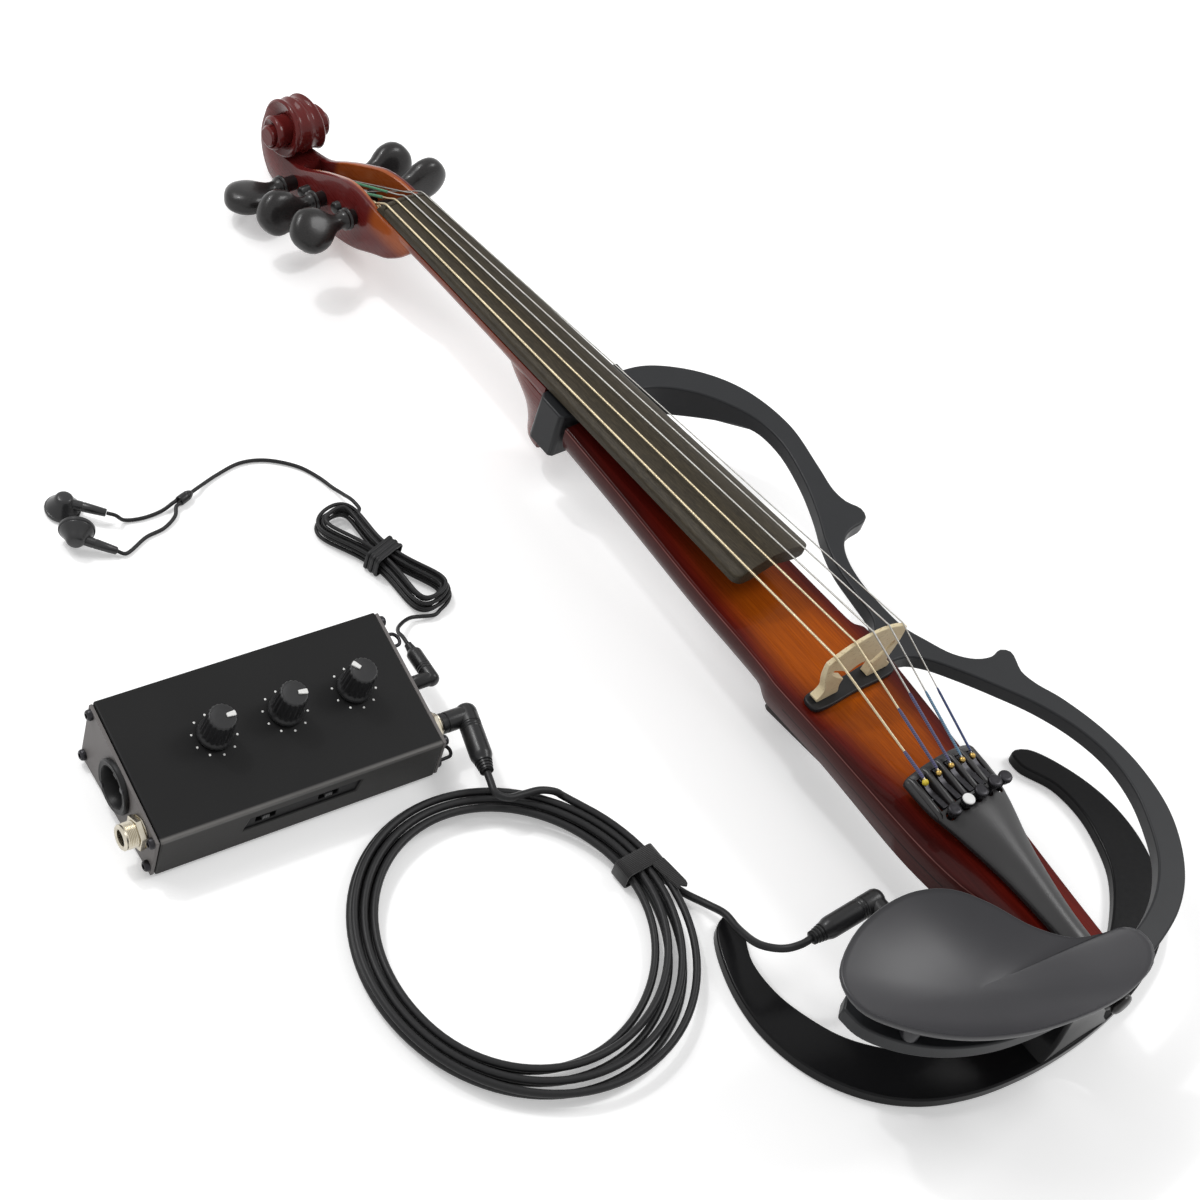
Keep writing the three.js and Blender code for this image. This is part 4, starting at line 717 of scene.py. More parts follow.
def along(stations, y):
    """A smooth value along a row of (place, value) stations."""
    if y <= stations[0][0]:
        return stations[0][1]
    if y >= stations[-1][0]:
        return stations[-1][1]
    i = next(k for k in range(len(stations) - 1) if y < stations[k + 1][0])
    (x0, v0), (x1, v1) = stations[i], stations[i + 1]

    def slope(k):
        a, b = stations[max(k - 1, 0)], stations[min(k + 1, len(stations) - 1)]
        return (b[1] - a[1]) / (b[0] - a[0])

    h = x1 - x0
    t = (y - x0) / h
    start = (2 * t**3 - 3 * t**2 + 1) * v0 + (t**3 - 2 * t**2 + t) * h * slope(i)
    return start + (3 * t**2 - 2 * t**3) * v1 + (t**3 - t**2) * h * slope(i + 1)


def columns(rows, y):
    """The smooth value of every column of a table whose first column is the place."""
    return [along([(row[0], row[k]) for row in rows], y) for k in range(1, len(rows[0]))]


BODY_HALF = [
    (-158, 13.5), (-124, 17), (-77, 21.6), (-30, 26.6), (0, 29.4), (16, 31), (21, 30.8), (25, 27.6),
    (40, 26.6), (74, 25.2), (130, 21.6), (176, 19.4),
]


def board_half(y):
    return between(*BOARD_WIDTHS, (STRING_LENGTH - y) / (STRING_LENGTH - BOARD_END)) / 2


def board_top(y):
    return TOP_AT_NUT + TOP_RISE * (STRING_LENGTH - y)


def board_base(y):
    return BASE_AT_NUT + BASE_RISE * (STRING_LENGTH - y)


def board_drop(x):
    """How far the round top of the fingerboard falls away to the side."""
    return BOARD_RADIUS - math.sqrt(BOARD_RADIUS**2 - x**2)


print("board is", round(2 * board_half(BOARD_END), 1), "mm wide at its end")

# %% [markdown]
# ## Sunburst varnish
#
# The body is sprayed: amber in the middle, red further out and near black at
# the rim, under a thick clear lacquer. The distance to the rim is worked out
# from the object's own coordinates, so the burst follows the tapering outline.
# Fine streaks along the grain lie in the wood below, and the lacquer is a coat
# with its own low roughness. Along the edge a thin pale line is a painted highlight.

# %% Sunburst varnish
varnish = Finish(
    "sunburst varnish", tint(110, 34, 16), 0.34, Coat_Weight=0.15, Coat_Roughness=0.06,
    Coat_IOR=1.4, Specular_IOR_Level=0.04,
)
x, y, z = varnish.on_violin()
spray = varnish.noise(28, 3) * 7 - 3.5
inward = 31 - (y - 20).size() * 0.09 - x.size() + spray
glow = inward.ease(3, 19)
far = (y - 8 + spray * 3).size().ease(30, 125)
middle = varnish.mix(far, tint(162, 76, 8), tint(124, 30, 15))
ring = varnish.mix(inward.ease(-2, 7), tint(56, 17, 16), tint(90, 21, 15))
streaks = varnish.noise(1, 5, (1500, 45, 1500), 0.6)
burst = varnish.mix(glow, ring, middle)
shade = varnish.mix((z + 2.2).ease(-0.5, 0.5), tint(74, 38, 37), burst)
# Painted highlight: a thin pale line along the top edge, where the crown rolls into the side.
painted_edge_highlight = 1 - (z + 1.5).size().ease(0.15, 0.5)
shade = varnish.mix(painted_edge_highlight * 0.5, shade, tint(160, 112, 108))
cover_line = (z + 10.2).size().below(0.45) * x.below(0) * y.below(8) * y.above(-96)
shade = varnish.mix(cover_line, shade, tint(40, 13, 13))
grain = varnish.mix(streaks.ease(0.3, 0.75), (0.74, 0.72, 0.70), (1.1, 1.12, 1.1))
varnish.paint(
    Base_Color=varnish.mix(1.0, shade, grain, "MULTIPLY"), Roughness=streaks * 0.12 + 0.26,
)
varnish.bump(streaks, 0.00004, 0.35)

# %% [markdown]
# ## The body
#
# This violin has no hollow box, only a slim slab of wood with a crowned top. It
# is lofted through cross sections that stand square to its length. They lie
# closer together where the sides step out beside the bridge, and the crown
# rolls over into the sides so that its edge catches a thin line of light, which
# the varnish strengthens with a painted highlight. The bass side is a little
# fuller towards the tail.

# %% The body
BODY_TAIL = -158
TAIL_CORNER = 2.4
EDGE_ROLL = 1.1
BASS_HALF = [
    (-158, 14.6), (-141, 17.2), (-118, 22.4), (-100, 27), (-77, 28.8), (-42, 28.6), (-12, 28),
    (16, 28), (25, 27), (40, 26.2), (74, 25.2), (130, 21.6), (176, 19.4),
]


def body_section(y):
    tail = clamp((y - BODY_TAIL) / 3)
    half = along(BODY_HALF, y) - corner_cut(tail, TAIL_CORNER)
    depth = between(19, 15, smoothstep(y, 18, 27))
    half -= 2.5 * smoothstep(-y, 30, 140)
    right = [(half * s, -depth) for s in (0, 0.5)]
    undercut = 1.4 + 2.2 * (1 - smoothstep(-y, 10, 80))
    right += [(half - undercut, -depth), (half - undercut + 0.9, -depth + 1.2), (half - 0.3, -8)]
    for d in (0, 0.05, 0.15, 0.32, 0.54, 0.8, EDGE_ROLL):
        right.append((half - d, -0.3 - (1 - d / EDGE_ROLL) ** 2.4))
    right += [(half * s, -0.3 + 0.3 * (1 - s * s)) for s in (0.72, 0.4, 0)]
    bass = along(BASS_HALF, y) - corner_cut(tail, TAIL_CORNER)
    left = [(-x * bass / half, z) for x, z in right[1:-1]][::-1]
    return [Vector((x, y, z - 0.8 * (1 - tail))) for x, z in right + left]


stations = [BODY_TAIL + s for s in (0, 0.3, 1, 2, 3)] + [-150 + 6 * i for i in range(27)]
stations += [12, 16, 18.5, 20, 21, 22, 23, 24, 25.5, 28, 34]
stations += [40 + 8 * i for i in range(17)] + [175.7]
add_piece(
    "body_slab", loft([body_section(y) for y in stations]), ON_VIOLIN, varnish, ["body"], angle=40,
)
print("body sections:", len(stations))

# %% [markdown]
# ## Ebony
#
# The fingerboard and the nut are ebony: a brown black with long dark pores. It
# is oiled, not lacquered, so it stays half matt, and the pores show as a faint
# relief along the length.

# %% Ebony
ebony = Finish("ebony", tint(54, 48, 38), 0.46, Specular_IOR_Level=0.14)
pores = ebony.noise(1, 6, (2600, 60, 2600), 0.65)
bands = ebony.noise(1, 2, (240, 6, 240))
ebony.paint(
    Base_Color=ebony.mix(
        pores.ease(0.35, 0.7), ebony.mix(bands, tint(38, 34, 27), tint(52, 46, 36)),
        tint(66, 59, 46),
    ),
    Roughness=0.56 - pores * 0.16,
)
ebony.bump(pores, 0.00008, 0.5)

# %% [markdown]
# ## Fingerboard and nut
#
# The board widens and thickens from the nut to its free end, under a round top
# of 42 mm radius. Its free end has rounded corners and is hollow below. The nut
# is a small block of the same wood with a groove for each string, so its
# section is a row of points whose height dips at every string.

# %% Fingerboard and nut
CORNER = 4.0


def board_section(y):
    d = min(y - BOARD_END, CORNER)
    corner = CORNER - math.sqrt(CORNER**2 - (CORNER - d) ** 2)
    half = board_half(y) - corner
    hollow = 3.2 * (1 - smoothstep(y, 165, 192))
    top = board_top(y)
    right = [(half * s, board_base(y) + hollow * (1 - s / 0.74)) for s in (0, 0.35, 0.74)]
    right += [(half - 0.9, board_base(y)), (half - 0.3, board_base(y) + 0.5)]
    side = top - board_drop(half)
    right += [
        (half, side - 1.5), (half, side - 0.7), (half - 0.25, side - 0.2), (half - 0.8, side + 0.2),
    ]
    right += [(half * s, top - board_drop(half * s)) for s in (0.9, 0.75, 0.55, 0.35, 0.17, 0)]
    return [Vector((x, y, z)) for x, z in both_halves(right)]


stations = [BOARD_END + s for s in (0, 0.15, 0.5, 1, 1.8, 2.8, CORNER, 8)]
stations += [75 + 15 * i for i in range(17)] + [327.7]
add_piece(
    "fingerboard_ebony", loft([board_section(y) for y in stations]), ON_VIOLIN, ebony,
    ["fingerboard"], angle=40,
)

STRING_COUNT = 5
STRING_RADII = [0.55, 0.48, 0.42, 0.36, 0.3]
NUT_TOP, BRIDGE_TOP, TAIL_TOP = 4.6, 36.3, 15.3
NUT_SPACING, BRIDGE_SPACING, TAIL_SPACING = 5.5, 10.1, 7.2
TAIL_STRING_Y = -59


def string_x(i, spacing):
    return (i - 2) * spacing


def string_z(top, x):
    return top - board_drop(x)


def nut_section(y, low):
    half = 13.1
    grooves = [string_x(i, NUT_SPACING) for i in range(STRING_COUNT)]
    xs = [half, 12.6, -12.6, -half]
    xs += [middle + d for middle in grooves for d in (-1.1, -0.55, 0, 0.55, 1.1)]
    ring = []
    for x in sorted(xs, reverse=True):
        dip = 0.55 * max(0, 1 - min(abs(x - middle) for middle in grooves) / 0.9)
        corner = 0.5 if abs(x) > 13 else 0
        ring.append(Vector((x, y, NUT_TOP - 0.35 - board_drop(x) - low - dip - corner)))
    return ring + [Vector((-half, y, -2.4)), Vector((half, y, -2.4))]


NUT_LEVELS = [  # distance behind the board, fall from the top
    (0, 0.6), (0.3, 0.15), (0.9, 0), (1.8, 0.25), (2.8, 0.9), (3.8, 1.9), (4.7, 3.1), (5.2, 4.2),
]
nut = loft([nut_section(STRING_LENGTH + behind, fall) for behind, fall in NUT_LEVELS])
add_piece("nut_ebony", nut, ON_VIOLIN, ebony, ["nut"], angle=50)

# %% [markdown]
# ## Varnish on the neck and the scroll
#
# The neck end is shaded by hand. Its outside is a dark red brown, and the wood
# is left amber inside the open pegbox and on the cheeks beside the nut. Two
# masks made of object coordinates mark those places.

# %% Scroll varnish
scroll_varnish = Finish(
    "scroll varnish", tint(84, 24, 23), 0.3, Coat_Weight=0.36, Coat_Roughness=0.04, Coat_IOR=1.45,
    Specular_IOR_Level=0.1,
)
x, y, z = scroll_varnish.on_violin()
cloud = scroll_varnish.noise(60, 3)
inner_wall = 12.0 - (y - 341) * 0.083
inside = (x.size() - inner_wall).ease(-0.4, 0.5)
trough_floor = -34 - (y - 338) * 0.36
inside = (1 - inside) * (z - trough_floor).ease(-3, 1) * y.ease(333, 335) * (390 - y).ease(0, 6)
cheek = (1 - (y - 320).size().ease(11, 19)) * (z + 19).ease(0, 11) * 0.9
amber = scroll_varnish.mix(cloud, tint(130, 60, 24), tint(166, 86, 38))
deep = scroll_varnish.mix(cloud, tint(76, 19, 20), tint(104, 33, 31))
neck_amber = (1 - (y - 262).size().ease(30, 70)) * 0.35
where = inside.larger(cheek).larger(neck_amber)
flame = scroll_varnish.noise(1, 3, (60, 420, 60), 0.5)
grain = scroll_varnish.noise(1, 5, (900, 60, 900), 0.6)
shade = scroll_varnish.mix(where, deep, amber)
toned = scroll_varnish.mix(flame * 0.5 + grain * 0.5, (0.8, 0.78, 0.76), (1.14, 1.14, 1.12))
scroll_varnish.paint(
    Base_Color=scroll_varnish.mix(1.0, shade, toned, "MULTIPLY"), Roughness=grain * 0.12 + 0.22,
)
scroll_varnish.bump(grain, 0.00004, 0.3)

# %% [markdown]
# ## Neck shaft and heel
#
# The player's hand runs along the shaft, so its back is a flattened half round.
# Every section is half an ellipse under the board. The heel is lofted upwards
# and swells towards the top, where it runs into the shaft.

# %% Neck shaft and heel
HEEL_Y = 196
HALF_TURN = [math.pi * i / 24 for i in range(25)]
NECK_BOTTOM = [(HEEL_Y, -11), (225, -8.2), (260, -8.8), (300, -10.8), (320, -13.6), (328, -15.4)]
HEEL_LEVELS = [  # half width and reach of the round back at each height
    (-38, 8.5, 207), (-36.6, 10.6, 210), (-28, 12, 212.4), (-20, 13.4, 216.5), (-14, 14.8, 223),
    (-8, 16, 234), (-1, 16.6, 244),
]


def shaft_section(y):
    half = board_half(y) - 0.2
    top = board_base(y) - 0.3
    depth = top - along(NECK_BOTTOM, y)
    return [Vector((half * math.cos(t), y, top - depth * math.sin(t) ** 0.8)) for t in HALF_TURN]


def heel_section(z):
    half, back = columns(HEEL_LEVELS, z)
    reach = back - HEEL_Y
    return [
        Vector((half * math.cos(t), HEEL_Y + reach * math.sin(t) ** 0.85, z)) for t in HALF_TURN
    ]


shaft = loft([shaft_section(y) for y in (HEEL_Y, *range(200, 331, 6), 331)])
heel = loft([heel_section(z) for z in (-38, -37.6, -37, -36, *range(-34, -1, 2), -1)])

# %% [markdown]
# ## Pegbox and scroll
#
# The carver's showpiece is one band of wood. It is the back of the open pegbox,
# climbs over the top and winds inwards for about two turns and a half. Each
# turn is wider than the last, so the eye stands out furthest. The outer face is
# fluted: two shallow channels with a spine between them. Here one section with a
# fixed number of points is swept from the nut, along the pegbox and round a
# logarithmic spiral. In the pegbox its inner side drops to the floor of the
# trough; in the scroll it lies flat.

# %% Pegbox and scroll
EYE_Y, EYE_Z = 415.6, -22.2
SCROLL_RADIUS = 17.8
SCROLL_TIGHTNESS = 0.085
VOLUTE_START = 1.5
STRAIGHT_REACH = 12.6
EYE_HALF_WIDTH = 17.0
EYE_RADIUS = 5.2
SCROLL_TURNS, TURN_STEPS = 2.45, 44
PEGBOX = [  # place, half width, rim height, back height
    (306, 12.6, -2.2, -8), (310, 13, -2.4, -14), (315, 13.6, -2.6, -19), (320, 13.9, -2.8, -23),
    (327.5, 14, -3.3, -27), (334.5, 14.2, -3, -31), (340, 14, -2.8, -34.4),
    (348, 13.3, -3.2, -38.4), (358, 12.6, -5.6, -42), (366, 12, -9.8, -44.6),
    (375.7, 11.3, -15.7, -47), (383, 10.7, -20.6, -49.2), (396, 9.8, -29.6, -52),
    (410, 9.2, -33.6, -54),
]
TROUGH = [  # place, half width, floor height
    (333.8, 10.8, -7), (336, 10.6, -19), (341, 10.2, -26), (352, 9, -33), (372, 7.4, -38.5),
    (386, 6.2, -42), (394, 5.5, -43), (398, 5.2, -41),
]
SCROLL_HALF = [  # angle in radians, half width
    (0, 8.6), (0.8, 7.7), (1.6, 7.1), (2.6, 7), (3.6, 7.9), (4.7, 9.6), (6.3, 11.6), (7.9, 13.2),
    (9.4, 14.6), (11, 15.9), (12.6, EYE_HALF_WIDTH),
]


def band_section(inner, outer, half, flute, trough=None, hollow=0.0):
    """Ring across the band. trough is the half width and depth cut from the inner side."""
    inner, outer = Vector(inner), Vector(outer)
    reach = (outer - inner).length
    wide, deep = trough or (half - 3.2, 0)
    land = min(1.2, half * 0.12)
    right = [(0, flute * 0.1)]
    right += [
        (half * s, flute * math.sin(math.pi * (s / 0.86) ** 1.2))
        for s in (0.14, 0.3, 0.45, 0.6, 0.74)
    ]
    right += [
        (half - land - 0.4, 0), (half - land, 0.05), (half - 0.35, land * 0.7), (half, land * 1.3),
    ]
    right += [
        (half - hollow * 0.5, reach * 0.4 + 1), (half - hollow, reach - 0.9),
        (half - hollow - 0.3, reach - 0.25), (half - hollow - 0.9, reach),
    ]
    right += [
        (wide + 0.7, reach), (wide + 0.1, reach - min(0.5, deep * 0.3)), (wide, reach - deep * 0.5),
    ]
    right += [(wide, reach - deep * 0.85), (wide - 1.6, reach - deep), (0, reach - deep)]
    return [Vector((x, *outer.lerp(inner, d / reach))) for x, d in both_halves(right)]


def pegbox_section(y):
    half, rim, back = columns(PEGBOX, y)
    wide, floor_z = columns(TROUGH, y)
    open_share = smoothstep(y, 333.4, 334.4) * (1 - smoothstep(y, 396, 399.5))
    deep = (rim - floor_z) * open_share
    flute = 1.2 * smoothstep(y, 336, 352)
    return band_section((y, rim), (y, back), half, flute, (wide, deep))


def scroll_radius(t):
    """A spiral that tightens steadily, after the straighter stretch that leaves the pegbox."""
    straight = STRAIGHT_REACH * max(0, 1 - t / VOLUTE_START) ** 1.4
    return SCROLL_RADIUS * math.exp(-SCROLL_TIGHTNESS * (t - VOLUTE_START)) + straight


def scroll_section(t):
    outer = scroll_radius(t)
    inner = max(scroll_radius(t + 2 * math.pi) - 0.8, 0.4)
    half = along(SCROLL_HALF, t)
    spots = [(EYE_Y + r * math.sin(t), EYE_Z - r * math.cos(t)) for r in (inner, outer)]
    return band_section(*spots, half, min(1.7, outer * 0.1), hollow=1.5 * smoothstep(t, 0.8, 2.4))


stations = [306, 308, 310, 312.5, 315, 318, 321, 324, 327, 330, 332, 333.3, 333.7, 334.1, 334.5]
stations += [336 + 3 * i for i in range(20)] + [395.5, 397, 398.2, 399.6, 404, 410]
rings = [pegbox_section(y) for y in stations]
last_step = round(SCROLL_TURNS * TURN_STEPS)
rings += [scroll_section(2 * math.pi * k / TURN_STEPS) for k in range(1, last_step + 1)]
eye_end = EYE_HALF_WIDTH + 0.6
eye = turned(
    [
        (0, -eye_end), (EYE_RADIUS - 0.8, -eye_end), (EYE_RADIUS, -eye_end + 0.8),
        (EYE_RADIUS, eye_end - 0.8), (EYE_RADIUS - 0.8, eye_end), (0, eye_end),
    ],
    36,
)
moved(eye, shift(0, EYE_Y, EYE_Z) @ LENGTHWISE)
neck_end = joined(shaft, heel, loft(rings), eye)
add_piece(
    "neck_pegbox_scroll", neck_end, ON_VIOLIN, scroll_varnish, ["neck_and_scroll"], angle=42,
)
print("scroll rings:", len(rings))

# %% [markdown]
# ## Pegs
#
# A peg is turned on a lathe, then its head is cut flat into a thumb piece with
# slightly dished faces. The round shank, collar and neck come first as rings of
# a loft, and the same loft goes on into the head, where each ring is wide one
# way and thin the other. A small pip finishes the end.

# %% Polished black pegs
peg_polish = Finish(
    "polished peg wood", tint(30, 29, 30), 0.24, Specular_IOR_Level=0.25, Coat_Weight=0.15,
    Coat_Roughness=0.12,
)
pores = peg_polish.noise(1, 4, (900, 2400, 2400), 0.6)
peg_polish.paint(
    Base_Color=peg_polish.mix(pores.ease(0.3, 0.75), tint(24, 23, 24), tint(40, 38, 37)),
    Roughness=pores * 0.14 + 0.24,
)
peg_polish.bump(pores, 0.00005, 0.4)

# %% Peg shapes
PEG_FACETS = 32
PEG_STATIONS = [347, 360, 373, 385.5, 398]
PEG_SIDES = [-1, 1, -1, 1, -1]
PEG_TURNS = [145, 85, 120, 60, 10]
HEAD_REACH = {-1: 2.0, 1: 4.5}  # how much longer the neck of the head is on each side
PEG_HEIGHTS = [(340, -16), (347, -18.5), (360, -23.5), (373, -29), (385.5, -35), (398, -40)]
PEG_PROFILE = [  # place along the peg, half height, half thickness
    (-15.5, 2.2, 2.2), (-15.3, 2.6, 2.6), (-14.6, 3.1, 3.1), (-5, 3.4, 3.4), (5, 3.7, 3.7),
    (15.6, 3.9, 3.9), (16.2, 4.6, 4.6), (16.8, 5.4, 5.4), (17.6, 5.7, 5.7), (18.2, 5.3, 5.3),
    (18.5, 4.9, 4.9), (19, 5.2, 5.2), (19.6, 5.3, 5.3), (20.2, 4.7, 4.7), (21.2, 4.1, 4.1),
    (22.6, 3.9, 3.8), (24.4, 4.5, 4.1), (26.2, 6.1, 4.6), (28.2, 8.2, 5.2), (30.4, 9.8, 5.7),
    (33, 10.9, 6.1), (36, 11.4, 6.4), (38.6, 11.3, 6.4), (41, 10.5, 6.1), (43.2, 9, 5.6),
    (45, 7, 4.9), (46.4, 4.9, 4), (47.3, 2.9, 2.7), (47.8, 1.2, 1.2),
]


def peg_section(s, tall, thick):
    """Round on the shank, then squarer and dished in the head."""
    share = smoothstep(s, 24, 32)
    power = between(1.0, 0.86, share)
    ring = []
    for i in range(PEG_FACETS):
        t = 2 * math.pi * i / PEG_FACETS
        c, d = math.cos(t), math.sin(t)
        u = tall * math.copysign(abs(c) ** power, c)
        v = thick * math.copysign(abs(d) ** power, d)
        dish = 0.55 * share * max(0, 1 - (u / (0.72 * tall)) ** 2) * max(0, 1 - abs(s - 37) / 9)
        ring.append(Vector((s, u, v - math.copysign(dish, v) * (abs(d) > 0.3))))
    return ring


for i, (y, side, turned_by) in enumerate(zip(PEG_STATIONS, PEG_SIDES, PEG_TURNS)):
    longer = HEAD_REACH[side]
    head = loft(
        [peg_section(s + longer * smoothstep(s, 20, 27), *size) for s, *size in PEG_PROFILE]
    )
    moved(head, rotate(turned_by, "X"))
    stand = shift(0, y, along(PEG_HEIGHTS, y))
    if side < 0:
        stand = stand @ rotate(180, "Z")
    add_piece(
        f"peg_head_{i + 1}", head, ON_VIOLIN @ stand, peg_polish, [f"peg_{i + 1}"],
        body=f"peg_{i + 1}", angle=50,
    )

# %% [markdown]
# ## Maple
#
# The bridge is plain maple, cut on the quarter, so its faces show short dark
# flecks that run across it. Fine noise squeezed in one direction gives the
# flecks, and a wider one gives the warm and cool patches between them.

# %% Bare maple
maple = Finish("bare maple", tint(212, 196, 160), 0.55, Specular_IOR_Level=0.35)
flecks = maple.noise(1, 4, (420, 1100, 2200), 0.7)
patches = maple.noise(180, 3)
maple.paint(
    Base_Color=maple.mix(
        flecks.ease(0.57, 0.7), maple.mix(patches, tint(219, 205, 170), tint(206, 188, 150)),
        tint(156, 128, 92),
    ),
    Roughness=flecks * 0.2 + 0.45,
)
maple.bump(flecks, 0.00008, 0.5)

# %% [markdown]
# ## The bridge
#
# A bridge is a flat blank that is thick at the feet and thin at the crown. Its
# outline is drawn as curves through a few points on one side and mirrored. The
# blank is extruded from that outline, planed to its taper by moving each point
# in proportion to its height, and its edges are eased with a bevel.

# %% The bridge
BRIDGE_FOOT = 3.0
BRIDGE_CROWN = BRIDGE_TOP - 1.15
CROWN_HALF = 23.4
BLANK_HALF, TAPER = 2.3, 0.62


def curve(start, control, end, count):
    """Points of a quadratic curve, without its start."""
    start, control, end = Vector(start), Vector(control), Vector(end)
    shares = [(k + 1) / count for k in range(count)]
    return [start.lerp(control, t).lerp(control.lerp(end, t), t) for t in shares]


def bridge_side():
    """The right half of the outline, from the middle of the arch to the middle of the crown."""
    side = [Vector((0, 16.9))]
    for control, end in (
        ((3.5, 16.8), (6.6, 14.6)), ((12.5, 19), (18, 21.6)), ((19.4, 20.6), (18, 19.2)),
        ((14.5, 15), (8.6, 11.5)), ((10.5, 9), (9, BRIDGE_FOOT + 1.6)),
    ):
        side += curve(side[-1], control, end, 7)
    side += [
        Vector((9, BRIDGE_FOOT)), Vector((21.5, BRIDGE_FOOT)), Vector((22.3, BRIDGE_FOOT + 1.8)),
    ]
    for control, end in (
        ((18, 8), (19.6, 11.6)), ((21.6, 16), (22.6, 20)),
        ((23.6, 25), (CROWN_HALF, BRIDGE_CROWN - board_drop(CROWN_HALF))),
    ):
        side += curve(side[-1], control, end, 7)
    grooves = [string_x(i, BRIDGE_SPACING) for i in range(STRING_COUNT)]
    xs = [middle + d for middle in grooves for d in (-0.7, -0.35, 0, 0.35, 0.7)]
    xs += [15, 5, 17.5, 13, 7.5, 2.5]
    for x in sorted(xs, reverse=True):
        if x > 0:
            dip = 0.4 * max(0, 1 - min(abs(x - middle) for middle in grooves) / 0.6)
            side.append(Vector((x, BRIDGE_CROWN - board_drop(x) - dip)))
    return side + [Vector((0, BRIDGE_CROWN - 0.4))]


half_outline = bridge_side()
bridge_outline = half_outline + [Vector((-p.x, p.y)) for p in half_outline[1:-1]][::-1]
blank = moved(plate(bridge_outline, -BLANK_HALF, BLANK_HALF), UPRIGHT)
for vert in blank.verts:
    rise = clamp((vert.co.z - BRIDGE_FOOT) / (BRIDGE_CROWN - BRIDGE_FOOT))
    vert.co.y *= 1 - TAPER * rise
add_piece(
    "bridge_maple", blank, ON_VIOLIN, maple, ["bridge"], angle=30, soften=0.0003,
)
print("bridge outline points:", len(bridge_outline))

# %% [markdown]
# ## Moulded black plastic
#
# The tailpiece, the frames, the covers and the plugs are moulded in a black
# plastic with a fine eggshell texture from the mould. The same finish is mixed
# a little greyer or glossier for each of them.

# %% Moulded plastic


def moulded(name, low, high, roughness, grain=2600, depth=0.00003, **fixed):
    """Plastic with the fine texture of its mould and a faint unevenness of tone."""
    plastic = Finish(name, tint(*low), roughness, **fixed)
    texture = plastic.noise(grain, 3)
    tone = plastic.noise(70, 2)
    plastic.paint(
        Base_Color=plastic.mix(tone * 0.6 + texture * 0.4, tint(*low), tint(*high)),
        Roughness=texture * 0.12 + (roughness - 0.06),
    )
    return plastic.bump(texture, depth, 0.6)


satin = moulded("satin black plastic", (28, 27, 28), (38, 37, 38), 0.34, Specular_IOR_Level=0.46)
cover = moulded("cover plastic", (36, 30, 29), (50, 43, 41), 0.5, Specular_IOR_Level=0.2)

# %% [markdown]
# ## Tailpiece with its tuners
#
# The tailpiece is an arched wedge. It is lofted from the narrow tail to the
# wide head, and a boolean cuts a slot for each string. In every slot sits a
# bent lever that holds the string's ball end, and a knurled thumbscrew presses
# on the lever's other end. Rounded ribs stand between the slots.

# %% Tailpiece
HEAD_Y, END_Y = -54, -153
HEAD_HALF = 20
TAILPIECE_LEAN = 5
SLOT_HALF, LEVER_HALF = 2.3, 1.4
PIVOT_Y = -68
TAILPIECE_HALF = [
    (-153, 6.2), (-140, 6.9), (-122, 8.8), (-105, 11.6), (-84, 17), (-72, 19.8), (-54, 20.4),
]
SCREW_Y = -78


def tailpiece_top(y):
    return between(14.6, 7.4, (HEAD_Y - y) / (HEAD_Y - END_Y))


def tailpiece_section(y):
    blunt = clamp((y - END_Y) / 3)
    head = clamp((HEAD_Y - y) / 2.4)
    half = along(TAILPIECE_HALF, y) - corner_cut(blunt, 2.6) - corner_cut(head, 2.2)
    top = tailpiece_top(y) - 0.8 * (1 - blunt) - 0.8 * (1 - head)
    sag = half * between(0.24, 0.42, smoothstep(-y, 78, 110))
    thick = between(5.6, 4, (HEAD_Y - y) / (HEAD_Y - END_Y))
    right = [(half * s, top - thick - 0.25 * sag * s * s) for s in (0, 0.35, 0.7, 0.93)]
    right += [(half * 0.985, top - sag - thick * 0.62), (half, top - sag - thick * 0.35)]
    right += [(half * s, top - sag * s * s - drop) for s, drop in (
        (0.995, 0.7), (0.975, 0.3), (0.94, 0.08), (0.85, 0), (0.7, 0), (0.5, 0), (0.3, 0),
        (0.15, 0), (0, 0),
    )]
    lean = TAILPIECE_LEAN * smoothstep(-y, 80, 150)
    return [Vector((x - lean, y, z)) for x, z in both_halves(right)]


